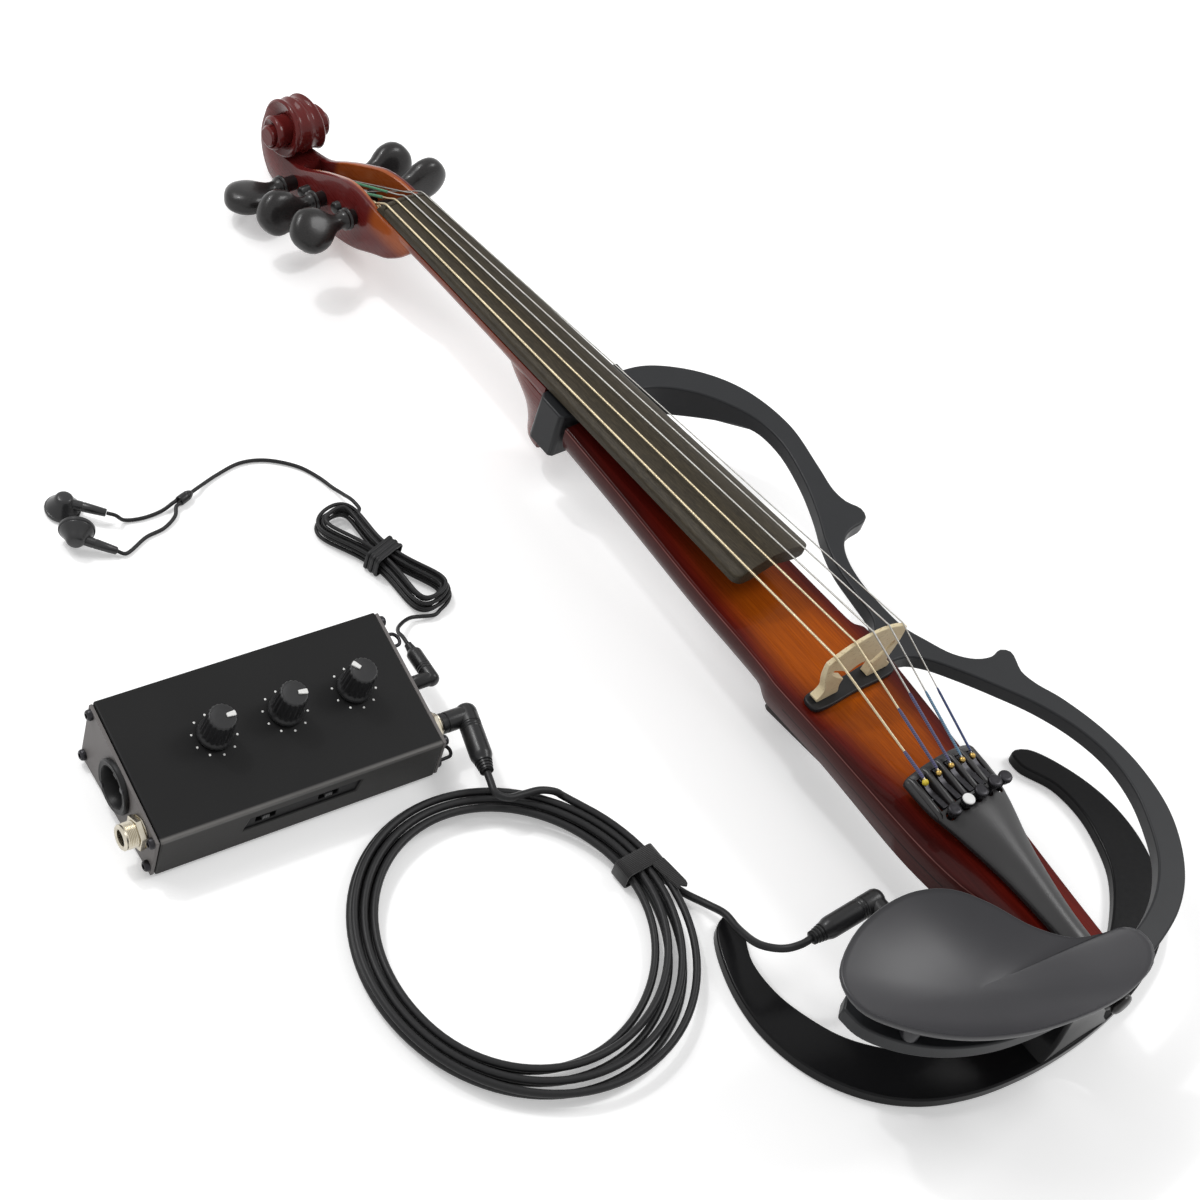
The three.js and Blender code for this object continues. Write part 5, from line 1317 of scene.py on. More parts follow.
stations = [END_Y + s for s in (0, 0.3, 0.9, 1.8, 3)] + [-145 + 6 * i for i in range(15)]
stations += [-57.5, -56.4, -55.4, -54.7, -54.2, HEAD_Y]
wedge = loft([tailpiece_section(y) for y in stations])
slots, levers, balls, ribs = [], [], [], []
for x in (string_x(i, TAIL_SPACING) - TAIL_SPACING / 2 for i in range(STRING_COUNT + 1)):
    spine = [
        (x, y, tailpiece_top(y) - 0.24 * x * x / HEAD_HALF - fall)
        for y, fall in ((-76.6, 1.6), (-75.4, 0.7), (-66, 0.3), (-57, 0.4), (-55.6, 1.2))
    ]
    ribs.append(tube(spine, 1.3, 12))
for i in range(STRING_COUNT):
    x = string_x(i, TAIL_SPACING)
    slots.append(block(x - SLOT_HALF, x + SLOT_HALF, -74.5, -57.6, 0, 22))
    slots.append(moved(rod(SLOT_HALF, -8, 9, 24), shift(x, SCREW_Y, tailpiece_top(SCREW_Y))))
    low = tailpiece_top(-66) - 4.8 * (x / HEAD_HALF) ** 2 - 2.6
    side = [
        (-57.9, low + 0.6), (-57.9, low + 3), (-59, low + 3.4), (-60.6, low + 3.3), (-63, low + 2),
        (-66, low + 1.8), (-74.2, low + 2.6), (-74.4, low + 0.8), (-66, low - 0.6), (-60, low),
    ]
    levers.append(moved(plate(side, x - LEVER_HALF, x + LEVER_HALF), ENDWISE))
    pivot = rod(0.8, -SLOT_HALF, SLOT_HALF, 16)
    levers.append(moved(pivot, shift(x, PIVOT_Y, low + 0.8) @ LENGTHWISE))
    ball = bmesh.new()
    bmesh.ops.create_uvsphere(ball, u_segments=20, v_segments=12, radius=1.5)
    balls.append(moved(ball, shift(x, -60.6, low + 3.2)))
tail_blank = carved(wedge, *slots)
add_piece(
    "tailpiece_wedge", joined(tail_blank, *ribs), ON_VIOLIN, satin, ["tailpiece"], angle=32,
    soften=0.00025,
)

blued = Finish("blued steel", tint(34, 33, 36), 0.3, Metallic=0.8)
blued.mottle(700, (26, 26, 29), (58, 57, 60), 0.25, 0.2)
add_piece("tuner_levers", joined(*levers), ON_VIOLIN, blued, soften=0.0002)

# %% [markdown]
# ## Thumbscrews
#
# The thumbscrews are lathe work with a knurled rim. A revolved profile can't
# have a knurl, so the head is lofted from rings whose points step in and out.
# One screw has a white cap, as a quick mark for the player's fingers.

# %% Thumbscrews
SCREW_HEADS = [15.2, 16.9, 18.8, 20.8, 19.2]
KNURL_POINTS = 48
WHITE_SCREW = 1


def screw_ring(radius, height, knurl):
    ring = []
    for i in range(KNURL_POINTS):
        t = 2 * math.pi * i / KNURL_POINTS
        r = radius - knurl * (i % 2)
        ring.append(Vector((r * math.cos(t), r * math.sin(t), height)))
    return ring


white_cap = Finish("white cap", tint(226, 226, 226), 0.4)
white_cap.mottle(500, (232, 232, 231), (214, 214, 212), 0.2, 0.3)
foot = tailpiece_top(SCREW_Y) - 7.5
for i, head in enumerate(SCREW_HEADS):
    levels = [
        (1.1, foot, 0), (1.1, head - 4.4, 0), (1.9, head - 4.2, 0), (2.2, head - 3.8, 0),
        (2.2, head - 3, 0), (1.7, head - 2.7, 0), (1.8, head - 2.4, 0), (2.9, head - 2.1, 0.18),
        (3.1, head - 1.8, 0.22), (3.1, head - 0.5, 0.22), (2.9, head - 0.2, 0.15),
        (2.6, head - 0.02, 0), (1.6, head, 0),
    ]
    screw = loft([screw_ring(*level) for level in levels])
    stand = ON_VIOLIN @ shift(string_x(i, TAIL_SPACING), SCREW_Y, 0)
    add_piece(
        f"thumbscrew_{i + 1}", screw, stand, blued, [f"tuner_screw_{i + 1}"],
        body=f"tuner_screw_{i + 1}", angle=40,
    )
    if i == WHITE_SCREW:
        cap = turned(
            [
                (0, head - 0.4), (2.7, head - 0.4), (2.8, head - 0.1), (2.65, head + 0.3),
                (2.2, head + 0.5), (0, head + 0.55),
            ],
            36,
        )
        add_piece(
            "thumbscrew_cap", cap, stand, white_cap, body=f"tuner_screw_{i + 1}",
        )

# %% [markdown]
# ## Chin rest
#
# The cup is a thin shell. Its rim is one closed curve seen from above, and both
# faces are nested copies of that curve, drawn in towards the middle: the upper
# ones dip into the dish, the lower ones hang below it. A real one is pressed or
# carved; a loft from the underside, over the rim and down into the dish makes
# the same shape in one skin, with a narrow flat rim that catches the light.

# %% Chin rest
CUP_CENTRE = Vector((-64, -144))
CUP_THICKNESS, RIM_THICKNESS = 4.5, 3.4
CUP_OUTLINE = [
    (-116, -114), (-99, -103), (-79, -99), (-61, -100.5), (-47, -107.5), (-36.5, -120), (-27, -137),
    (-15, -149), (-1, -154.5), (9, -157), (14, -162), (13.5, -169.5), (7, -176), (-8, -179.6),
    (-27, -180.3), (-48, -178), (-71, -171.5), (-92, -160.5), (-109, -145), (-119, -128),
]


def closed_curve(points, step):
    """A smooth closed outline through points, as a list without a repeated end."""
    points = [Vector((*p, 0)[:3]) for p in points]  # flat points get a height of 0
    wrapped = points[-3:] + points + points[:3]
    line = smooth_line(wrapped, step)
    start = min(range(len(line)), key=lambda k: (line[k] - points[0]).length)
    end = min(range(start + 5, len(line)), key=lambda k: (line[k] - points[0]).length)
    return line[start:end]


cup_rim = closed_curve(CUP_OUTLINE, 4)


def rim_height(x, y):
    return between(18.6, 13.4, smoothstep(x, -50, -5)) + 2.2 * smoothstep(-y, 130, 175)


def cup_level(share, height):
    ring = []
    for spot in cup_rim:
        flat = CUP_CENTRE.lerp(spot.xy, share)
        ring.append(Vector((flat.x, flat.y, height(spot.x, spot.y, flat.x))))
    return ring


def floor_height(x):
    return between(8.8, 11.4, smoothstep(x, -50, -10))


def dish(share):
    """A ring of the upper face. share is 0 in the middle and 1 at the rim."""
    return cup_level(
        share, lambda x, y, inner_x: between(floor_height(inner_x), rim_height(x, y), share**2.2)
    )


def belly(share):
    """A ring of the underside."""
    return cup_level(share, lambda x, y, inner_x: between(
        floor_height(inner_x) - CUP_THICKNESS, rim_height(x, y) - RIM_THICKNESS, share**3
    ))


def rim_ring(inset, drop):
    return cup_level(1 - inset, lambda x, y, inner_x: rim_height(x, y) - drop)


RIM_STEPS = [(0.008, 2.9), (0.0015, 2.1), (0, 1.2), (0.0015, 0.5), (0.006, 0.12), (0.013, 0)]
cup_rings = [belly(s) for s in (0.04, 0.2, 0.4, 0.6, 0.75, 0.86, 0.94, 0.975)]
cup_rings += [rim_ring(inset, drop) for inset, drop in RIM_STEPS]
cup_rings += [dish(s) for s in (0.975, 0.95, 0.9, 0.84, 0.76, 0.66, 0.55, 0.43, 0.3, 0.18, 0.06)]
cup = loft(cup_rings)
POST_SPOTS = [(-62, -158), (-93, -141.5)]
posts = [
    moved(
        turned(
            [(0, -4.7), (4, -4.7), (4, 2), (3.6, 2.6), (3.6, 5), (4.6, 7), (5.4, 8.6), (0, 8.6)],
            32,
        ),
        shift(x, y, 0),
    )
    for x, y in POST_SPOTS
]
matt_grey = moulded("matt grey plastic", (35, 35, 38), (43, 42, 46), 0.38, Specular_IOR_Level=0.42)
add_piece(
    "chin_rest_cup", joined(cup, *posts), ON_VIOLIN, matt_grey, ["chin_rest"], angle=40,
)
print("chin rest points:", len(cup_rim), "to a ring")

# %% [markdown]
# ## The upper frame
#
# In place of a violin's bouts there is a thin curved frame: a wing on the
# treble side with the two little horns of a violin's waist, a lug beside the
# bridge, and an arm round the tail for the chin rest. It is drawn as one
# outline through listed points, extruded, and given rounded edges. The
# underside grows deeper towards the yoke that grips the neck.

# %% Upper frame
FRAME_TOP, FRAME_THICKNESS = -5.0, 8.0
SHOULDER_DEPTH = 10.5
YOKE_LOW, YOKE_HIGH = -21.4, 4.6
TREBLE_OUTER = [
    (20, 195.6), (34, 197.3), (49, 194), (69, 180), (82, 161), (87, 134), (82, 107), (78.6, 92),
    (79.3, 84), (83, 77), (81.5, 72), (77, 70), (71, 69.6), (65, 67.8), (59.5, 63.5), (55, 55.5),
    (52, 44), (51, 29), (52, 14), (56, 4), (62, -8), (70, -15.4), (78, -18), (84.5, -17),
    (88.5, -20.4), (87, -25.6), (84.8, -31), (86, -39), (91, -51), (96, -72), (97, -94), (92, -118),
    (82, -136), (69, -150), (55, -159), (40, -164.6), (22, -168.8), (0, -170.6), (-24, -170.2),
    (-46, -167.6), (-66, -162.6), (-85, -153.4), (-99, -141.6), (-107.4, -129), (-108.6, -119),
]
TAIL_INNER = [
    (-103, -114.6), (-97.6, -118.4), (-93, -127), (-84, -137.4), (-72, -145.4), (-58, -150.6),
    (-42, -154.2), (-22, -157.6), (-14, -158.6),
]
TREBLE_INNER = [
    (14, -158.6), (26, -156.6), (41, -152.4), (54, -146), (66.5, -135.6), (76.6, -121),
    (84.4, -104), (87.4, -86), (85, -67.6), (78, -49), (68, -32), (58, -17), (49.4, -6), (42, 0),
    (33, 2), (30.1, 2.4),
]
WAIST_INNER = [
    (31.35, 16), (37, 18.6), (42, 25.4), (44.4, 38), (47.4, 55), (53.2, 70), (61.4, 85),
    (69.6, 104), (75.2, 126), (74.2, 142), (67.4, 157), (57, 170.4), (44, 180), (30, 184.4),
    (20, 185),
]


def flat_line(points, step):
    return [p.xy for p in smooth_line([(x, y, 0) for x, y in points], step)]


wing_outline = []
for row in (TREBLE_OUTER, TAIL_INNER, TREBLE_INNER, WAIST_INNER):
    wing_outline += flat_line(row, 2.5)
wing = plate(wing_outline, FRAME_TOP - FRAME_THICKNESS, FRAME_TOP)
for vert in wing.verts:
    if vert.co.z < FRAME_TOP - 1 and vert.co.x > 0:
        vert.co.z -= SHOULDER_DEPTH * smoothstep(vert.co.y, 138, 180)

# The yoke wraps the joint between the body and the neck, deepest under the bass side
yoke_outline = [
    (-21.4, 179.5), (-19.6, 178), (23, 177), (26, 179.5), (26, 195.7), (-18.6, 195.7), (-21.4, 193),
]
yoke = plate(yoke_outline, YOKE_LOW, YOKE_HIGH)
frame_grey = moulded(
    "grey frame plastic", (31, 32, 34), (39, 40, 42), 0.4, grain=2200, Specular_IOR_Level=0.22,
)
add_piece(
    "frame_wing", joined(wing, yoke), ON_VIOLIN, frame_grey, ["upper_frame"], angle=30,
    soften=0.0009,
)
print("wing outline points:", len(wing_outline))

# %% [markdown]
# ## The lower frame
#
# A glossy black bow lies flat under the violin and follows its outline from
# one shoulder to the other. A riser at the tail carries the upper frame.

# %% Lower frame
BOW_THICKNESS = 6
BOW_OUTER = [
    (89, -46.5), (97, -49), (108, -70), (112, -95), (107, -120), (94, -141), (76, -156),
    (53, -165.5), (27, -170.5),
]
BOW_INNER = [
    (27, -152), (50, -145), (69, -132.6), (84, -117), (92, -100), (95.4, -86), (94.6, -70),
    (87.4, -54),
]
BOW_CENTRE_X = -3


def mirrored(points):
    return [(-x, y) for x, y in points][::-1]


bow_points = BOW_OUTER + [(0, -172)] + mirrored(BOW_OUTER)
bow_points += mirrored(BOW_INNER) + [(0, -154)] + BOW_INNER
bow_outline = [
    p.xy for p in closed_curve([(x * 0.9995 + BOW_CENTRE_X, y) for x, y in bow_points], 3)
]
bow = plate(bow_outline, -BODY_TOP, -BODY_TOP + BOW_THICKNESS)
RISER_LEVELS = [  # height, half width, back, front
    (-BODY_TOP + 3, 24, -171, -157), (-42, 17, -170.5, -158.6), (-28, 15, -169.5, -158.8),
    (-13.3, 17, -169.5, -159),
]


def riser_section(z):
    half, back, front = columns(RISER_LEVELS, z)
    corner = 2.0
    right = [(half, front), (half, back + corner)]
    right += [
        (half - corner + corner * math.cos(t), back + corner - corner * math.sin(t))
        for t in (math.radians(a) for a in (22, 45, 67, 90))
    ]
    return [Vector((x, y, z)) for x, y in right + [(-x, y) for x, y in right][::-1]]


riser = loft([riser_section(-BODY_TOP + 3 + (37.7 / 12) * k) for k in range(13)])
gloss = moulded(
    "gloss black plastic", (18, 18, 19), (26, 26, 27), 0.2, grain=500, depth=0.00002,
    Specular_IOR_Level=0.1,
)
add_piece(
    "frame_bow", joined(bow, riser), ON_VIOLIN, gloss, ["lower_frame"], angle=30, soften=0.0009,
)

# %% [markdown]
# ## Covers, seat and tail fittings
#
# The back cover and the jack housing are simple trays, and their solids already
# have the right form. Each is copied, its triangles are merged into whole faces,
# and a bevel rounds the edges. The cover is made narrower, so that it stays out
# of sight under the sides. The seat under the bridge, the end button and the
# cord that ties the tailpiece to it are made afresh.

# %% Back cover and jack housing
housing = moulded("housing plastic", (24, 24, 25), (34, 34, 35), 0.4, Specular_IOR_Level=0.2)
COVER_WIDTH = 0.78  # share of the solid's own width
narrower = ON_VIOLIN @ Matrix.Diagonal((COVER_WIDTH, 1, 1, 1)) @ ON_VIOLIN.inverted()
add_piece(
    "back_cover_tray", welded_copy("back_cover"), narrower, cover, ["back_cover"], soften=0.0004,
)
add_piece(
    "jack_pod", welded_copy("jack_housing"), Matrix(), housing, ["jack_housing"], soften=0.0006,
)
seat_points = [
    (-23.8, -4.9), (0, -5.6), (23.8, -4.9), (24.9, -1), (23.8, 2.8), (0, 3.4), (-23.8, 2.8),
    (-24.9, -1),
]
seat_outline = [p.xy for p in closed_curve(seat_points, 2)]
add_piece(
    "bridge_seat", plate(seat_outline, 0.3, 2.7), ON_VIOLIN, housing, ["bridge_base"],
    soften=0.0006,
)

# %% End button and tail cord
BUTTON = shift(0, -172, -9) @ UPRIGHT
button_profile = [
    (0, -22), (1.8, -22), (2.2, -21.4), (2.2, 0.8), (3, 0.8), (3, 3.3), (4.2, 3.6), (4.9, 4),
    (5.2, 4.7), (5.3, 5.4), (5.1, 6), (4.5, 6.6), (3.4, 7), (1.9, 7.25), (0, 7.3),
]
add_piece(
    "end_button_turned", turned(button_profile, 40), ON_VIOLIN @ BUTTON, peg_polish, ["end_button"],
    angle=40,
)


def hoop(line, radius, sides):
    """A closed round cord. Its sections face away from the middle of the loop."""
    centre = sum(line, Vector()) / len(line)
    rings = []
    for k, spot in enumerate(line):
        ahead = (line[(k + 1) % len(line)] - line[k - 1]).normalized()
        out = spot - centre
        out = (out - ahead * out.dot(ahead)).normalized()
        rings.append(circle(spot, out, ahead.cross(out), radius, sides))
    return loft(rings + rings[:1], closed=True)


TAIL_CORD_RADIUS = 1.1
TAIL_CORD_SHIFT = 3.6  # it follows the lean of the tailpiece
CORD_SIDE = [
    (3.2, -145.4, 2.9), (4.2, -149.5, 1.6), (4.3, -158.4, 1.5), (4.7, -166, -0.8),
    (5, -171.2, -2.9), (5, -174, -6.6), (4.9, -174.2, -10), (3.4, -174.2, -13.2),
]
loop_points = [(0, -144.6, 3.1)] + CORD_SIDE + [(0, -174.2, -14.4)]
loop_points += [(-x, y, z) for x, y, z in CORD_SIDE][::-1]
cord_hoop = hoop(closed_curve(loop_points, 1.2), TAIL_CORD_RADIUS, 12)
for vert in cord_hoop.verts:
    vert.co.x -= TAIL_CORD_SHIFT * smoothstep(vert.co.y, -172, -150)
add_piece("tail_cord_loop", cord_hoop, ON_VIOLIN, jacket, ["tail_cord"])

# %% [markdown]
# ## Strings
#
# A violin string is a core wound with fine ribbon, and its ends are wrapped in
# coloured silk so that a player can tell the gauges apart. Each string here is
# one tube that starts as a few turns round its peg, runs over the nut and the
# bridge and ends in the tailpiece. The winding is a wave in the bump.

# %% String finishes


def string_finish(name, low, high):
    metal = Finish(name, tint(*high), 0.34, Metallic=0.75)
    winding = metal.node(
        "ShaderNodeTexWave", {"bands_direction": "Y"}, Vector=metal.place, Scale=900.0
    )
    return metal.mottle(120, low, high, 0.2, 0.26).bump(winding, 0.00003, 0.5)


def silk_finish(name, low, high):
    """Thread wound at a slant, in two tones."""
    silk = Finish(name, tint(*low), 0.7, Sheen_Weight=0.3, Specular_IOR_Level=0.25)
    slant = silk.node("ShaderNodeMapping", None, Vector=silk.place, Rotation=(0, 0, 0.5))
    twist = silk.node(
        "ShaderNodeTexWave", {"bands_direction": "Y"}, Vector=slant, Scale=420.0, Distortion=1.5,
        Detail=2.0,
    )
    silk.paint(Base_Color=silk.mix(twist, tint(*low), tint(*high)), Roughness=twist * 0.2 + 0.55)
    return silk.bump(twist, 0.00005, 0.5)


gold_string = string_finish("gold string", (156, 142, 114), (212, 198, 166))
silver_string = string_finish("silver string", (134, 132, 129), (190, 189, 184))
silks = {
    "purple": silk_finish("purple silk", (70, 58, 88), (88, 94, 126)),
    "blue": silk_finish("blue silk", (66, 88, 118), (112, 148, 170)),
    "navy": silk_finish("navy silk", (36, 42, 74), (62, 78, 122)),
    "green": silk_finish("green silk", (34, 92, 62), (86, 158, 120)),
}

# %% The five strings
PEG_MIDDLE_RADIUS = between(3.2, 4, 16 / 34)
STRING_PEGS = [0, 2, 4, 3, 1]
TURNS_ON_PEG, STEPS_A_TURN = 4, 18


def string_line(i):
    peg_y = PEG_STATIONS[STRING_PEGS[i]]
    peg_z = along(PEG_HEIGHTS, peg_y)
    radius = STRING_RADII[i]
    nut_x, bridge_x, tail_x = (string_x(i, s) for s in (NUT_SPACING, BRIDGE_SPACING, TAIL_SPACING))
    coil_x = min(max(nut_x * 0.8, -4.4), 4.4)
    lay = 1 if coil_x < 0 else -1
    coil_radius = PEG_MIDDLE_RADIUS + radius + 0.15
    line = []
    for k in range(TURNS_ON_PEG * STEPS_A_TURN + 1):
        left = TURNS_ON_PEG - k / STEPS_A_TURN
        angle = -2 * math.pi * left
        line.append(Vector((
            coil_x + lay * left * 2.1 * radius,
            peg_y - coil_radius * math.sin(angle), peg_z + coil_radius * math.cos(angle),
        )))
    nut = Vector((nut_x, STRING_LENGTH + 1, string_z(NUT_TOP, nut_x) - 0.02))
    bridge_spot = Vector((bridge_x, 0, string_z(BRIDGE_TOP, bridge_x)))
    tail = Vector((tail_x, TAIL_STRING_Y - 1, string_z(TAIL_TOP, tail_x)))
    line += [
        nut + Vector((0, 5.4, -3.2)), nut + Vector((0, 2, -0.6)), nut,
        nut + (bridge_spot - nut) * 0.003,
    ]
    line += [
        bridge_spot + (nut - bridge_spot) * 0.003, bridge_spot,
        bridge_spot + (tail - bridge_spot) * 0.012, tail,
    ]
    return line


SILK_STARTS = [("purple", -46), ("purple", -31), ("purple", -28), ("blue", -30), ("navy", -30)]
GREEN_SILKS = (1, 2)
sleeves = {name: [] for name in silks}
for i in range(STRING_COUNT):
    line = string_line(i)
    radius = STRING_RADII[i]
    wire = tube(line, radius, 10)
    add_piece(
        f"string_wire_{i + 1}", wire, ON_VIOLIN, gold_string if i < 2 else silver_string,
        [f"string_{i + 1}"], angle=60,
    )
    bridge_spot, tail = line[-3], line[-1]
    name, start = SILK_STARTS[i]
    ends = [
        bridge_spot.lerp(tail, s / (bridge_spot.y - tail.y)) for s in (-start, 2 - start, 57, 59)
    ]
    sleeves[name].append(tube(ends, lambda s, r=radius: r + (0.25 if 0.1 < s < 0.9 else 0.08), 10))
    if i in GREEN_SILKS:
        over = [line[-8].lerp(line[-9], s) for s in (0.12, 0.18, 0.42, 0.48)]
        sleeves["green"].append(tube(over, radius + 0.3, 10))
for name, parts in sleeves.items():
    add_piece(
        f"string_silk_{name}", joined(*parts), ON_VIOLIN, silks[name], angle=60,
    )

# Ball ends: a yellow one for the lowest string, brass for the others
brass = Finish("brass", tint(168, 140, 80), 0.3, Metallic=1.0)
lustre = brass.noise(300, 3)
brass.paint(Roughness=lustre * 0.25 + 0.2)
yellow = Finish("yellow ball", tint(212, 190, 40), 0.5)
yellow.mottle(900, (222, 202, 60), (186, 160, 30), 0.2, 0.4)
add_piece("ball_end_low", balls[0], ON_VIOLIN, yellow, angle=60)
add_piece("ball_ends", joined(*balls[1:]), ON_VIOLIN, brass, angle=60)

# %% [markdown]
# ## The control box
#
# The box is a folded steel sheet with a powder coat, closed by two end plates.
# Its top slopes to the front. The sheet's section is extruded along the box,
# the recess for the slide switches is cut out, and small bevels on the folds
# catch the light as they do on painted steel. The coat has the fine orange peel
# of baked powder. A pale line along the front fold is a painted highlight, and
# the front face is painted paler, as light falls on it.

# %% Powder coat
powder = Finish("powder coat", tint(22, 22, 22), 0.5, Specular_IOR_Level=0.16)
peel = powder.noise(1500, 3)
smudge = powder.noise(22, 3)
across_box = ON_BOX.inverted()[1]
depth = powder.axis(0) * across_box[0] + powder.axis(1) * across_box[1] + across_box[3]
# Painted highlight: a pale line along the front fold of the top.
painted_fold_highlight = 1 - ((depth + 32.3).size() + (powder.axis(2) / MM - 23.8).size()).ease(0.8, 2.4)
front = (depth + 32.1).below(0)
coat = powder.mix(smudge, tint(17, 17, 18), tint(27, 27, 27))
# Painted light: the front face is made paler, as light falls on it.
coat = powder.mix(front * (smudge * 0.6 + 0.3), coat, tint(62, 61, 60))
powder.paint(
    Base_Color=powder.mix(painted_fold_highlight * (smudge * 0.8 + 0.2), coat, tint(118, 116, 114)),
    Roughness=smudge * 0.16 + peel * 0.1 + 0.36,
)
powder.bump(peel, 0.00004, 0.7)
recess_black = moulded("recess plastic", (13, 13, 14), (21, 21, 22), 0.45, Specular_IOR_Level=0.15)
end_grey = moulded(
    "end plate coat", (92, 89, 88), (112, 108, 107), 0.5, grain=1800, Specular_IOR_Level=0.3,
)

# %% Box shell
BOX_HALF, BOX_INSIDE, BOX_FOOT = 32.5, 30.9, 1.5
END_FACE, END_THICKNESS = 67.0, 1.6
SHELL_HALF = END_FACE - END_THICKNESS - 0.3
PANEL_RISE = 12 / 65
PANEL_SLOPE = math.atan(PANEL_RISE)
SHEET = 1.6
SWITCHES = [-17, 12]


def panel_height(y):
    return 30 + y * PANEL_RISE


fold = [
    (-BOX_HALF, BOX_FOOT), (-BOX_HALF, panel_height(-BOX_HALF)), (BOX_HALF, panel_height(BOX_HALF)),
    (BOX_HALF, BOX_FOOT), (BOX_INSIDE, BOX_FOOT), (BOX_INSIDE, panel_height(BOX_INSIDE) - SHEET),
    (-BOX_INSIDE, panel_height(-BOX_INSIDE) - SHEET), (-BOX_INSIDE, BOX_FOOT),
]
sheet = moved(plate(fold, -SHELL_HALF, SHELL_HALF), ENDWISE)
recess = moved(
    plate([(-27, 11), (25, 11), (27, 18.4), (-24.6, 18.4)], BOX_HALF - 1.9, BOX_HALF + 2),
    UPRIGHT,
)
slots = [block(x - 4.6, x + 4.6, -BOX_HALF - 1, -BOX_INSIDE + 4, 13.1, 16.3) for x in SWITCHES]
shell = carved(sheet, recess)
add_piece(
    "box_cover", shell, ON_BOX, powder, ["box_shell"], angle=25, soften=0.0007,
)

# The recess is lined by a moulded bezel with a slot for each switch
bezel = carved(block(-27.5, 27.5, -BOX_HALF + 0.9, -BOX_HALF + 3.4, 9.6, 19.8), *slots)
add_piece("switch_bezel", bezel, ON_BOX, recess_black, soften=0.0003)
base = plate(
    [(-SHELL_HALF, -30.6), (SHELL_HALF, -30.6), (SHELL_HALF, 30.6), (-SHELL_HALF, 30.6)],
    BOX_FOOT, 3.1,
)
rubber_feet = [
    moved(turned([(0, 0), (3.9, 0), (4.5, 0.4), (4.3, 2), (0, 2)], 32), shift(x, y, 0))
    for x in (-54, 54) for y in (-22, 22)
]
add_piece(
    "box_floor", joined(base, *rubber_feet), ON_BOX, housing, ["box_base"], soften=0.0002,
)

# %% [markdown]
# ## End plates
#
# The end plates carry four round-headed screws each, the sockets, and on the
# right-hand plate two small wire loops for a strap.

# %% End plates
XLR, LINE_JACK, INPUT_JACK, PHONES_JACK = (2.7, 17.6), (-20, 16.5), (-19, 16.5), (4, 17)
CORNERS = [(-29.3, 5.2), (29.3, 5.2), (-29.3, 20.6), (29.3, 32)]
SCREW_PROFILE = [
    (0, 0.9), (1.05, 0.9), (1.05, 2.0), (1.25, 2.2), (1.7, 2.15), (2.15, 1.8), (2.4, 1.2),
    (2.45, -0.4), (0, -0.4),
]


def on_end(side, y, z):
    """Matrix that stands a piece on an end plate, facing out."""
    return shift(side * END_FACE, y, z) @ rotate(90 * side, "Y")


for side, name, holes in (
    (-1, "left", [(*XLR, 10.5), (*LINE_JACK, 5.9)]),
    (1, "right", [(*INPUT_JACK, 5.9), (*PHONES_JACK, 4)]),
):
    low, high = sorted((side * END_FACE, side * (END_FACE - END_THICKNESS)))
    face = [
        (-BOX_HALF + 0.4, BOX_FOOT), (BOX_HALF - 0.4, BOX_FOOT),
        (BOX_HALF - 0.4, panel_height(BOX_HALF) - 0.9),
        (-BOX_HALF + 0.4, panel_height(-BOX_HALF) - 0.9),
    ]
    cutters = [
        moved(rod(radius, low - 1, high + 1, 48), shift(0, y, z) @ LENGTHWISE)
        for y, z, radius in holes
    ]
    end_plate = carved(moved(plate(face, low, high), ENDWISE), *cutters)
    add_piece(
        f"end_plate_{name}", end_plate, ON_BOX, end_grey, [f"box_end_{name}"], angle=25,
        soften=0.0003,
    )
    screws = [moved(turned(SCREW_PROFILE, 32), on_end(side, y, z)) for y, z in CORNERS]
    add_piece(f"end_screws_{name}", joined(*screws), ON_BOX, blued)

loops = []
for y, z in ((23, 25), (-27.7, 8.8)):
    x = END_FACE - 0.6
    loop = [
        (x, y - 3.3, z), (x + 3.4, y - 3.3, z), (x + 6.6, y - 2.8, z), (x + 7.8, y, z),
        (x + 6.6, y + 2.8, z), (x + 3.4, y + 3.3, z), (x, y + 3.3, z),
    ]
    loops.append(tube(smooth_line(loop, 0.7), 0.8, 12))
add_piece("strap_loops", joined(*loops), ON_BOX, blued, angle=60)

# %% [markdown]
# ## Knobs and slide switches
#
# A knob has a smooth flared skirt and a fluted grip, with a white pointer
# pressed into its top. The flutes are part of each ring of the loft: the radius
# dips eighteen times round. White dots on the panel mark the settings.

# %% Knobs
KNOB_STATIONS = [-25, 7.5, 40]
KNOB_LINE = 3
FLUTES = 18
KNOB_TURNS = [-2, -12, 126]
KNOB_LEVELS = [  # height, radius, flute depth
    (0.5, 6.6, 0), (0.6, 7.2, 0), (1.0, 7.6, 0), (1.7, 7.7, 0), (2.4, 7.4, 0), (3.0, 7.0, 0),
    (3.5, 6.7, 0.1), (4.2, 6.6, 0.4), (8, 6.45, 0.42), (12, 6.3, 0.42), (15, 6.15, 0.42),
    (15.7, 6.0, 0.32), (16.1, 5.6, 0.12), (16.2, 5.2, 0), (16.05, 4.6, 0), (16.0, 2, 0),
]
PANEL = shift(0, 0, panel_height(0)) @ Matrix.Rotation(PANEL_SLOPE, 4, "X")


def knob_ring(height, radius, flute):
    ring = []
    for i in range(6 * FLUTES):
        t = 2 * math.pi * i / (6 * FLUTES)
        r = radius - flute * (0.5 + 0.5 * math.cos(FLUTES * t)) ** 1.5
        ring.append(Vector((r * math.cos(t), r * math.sin(t), height)))
    return ring


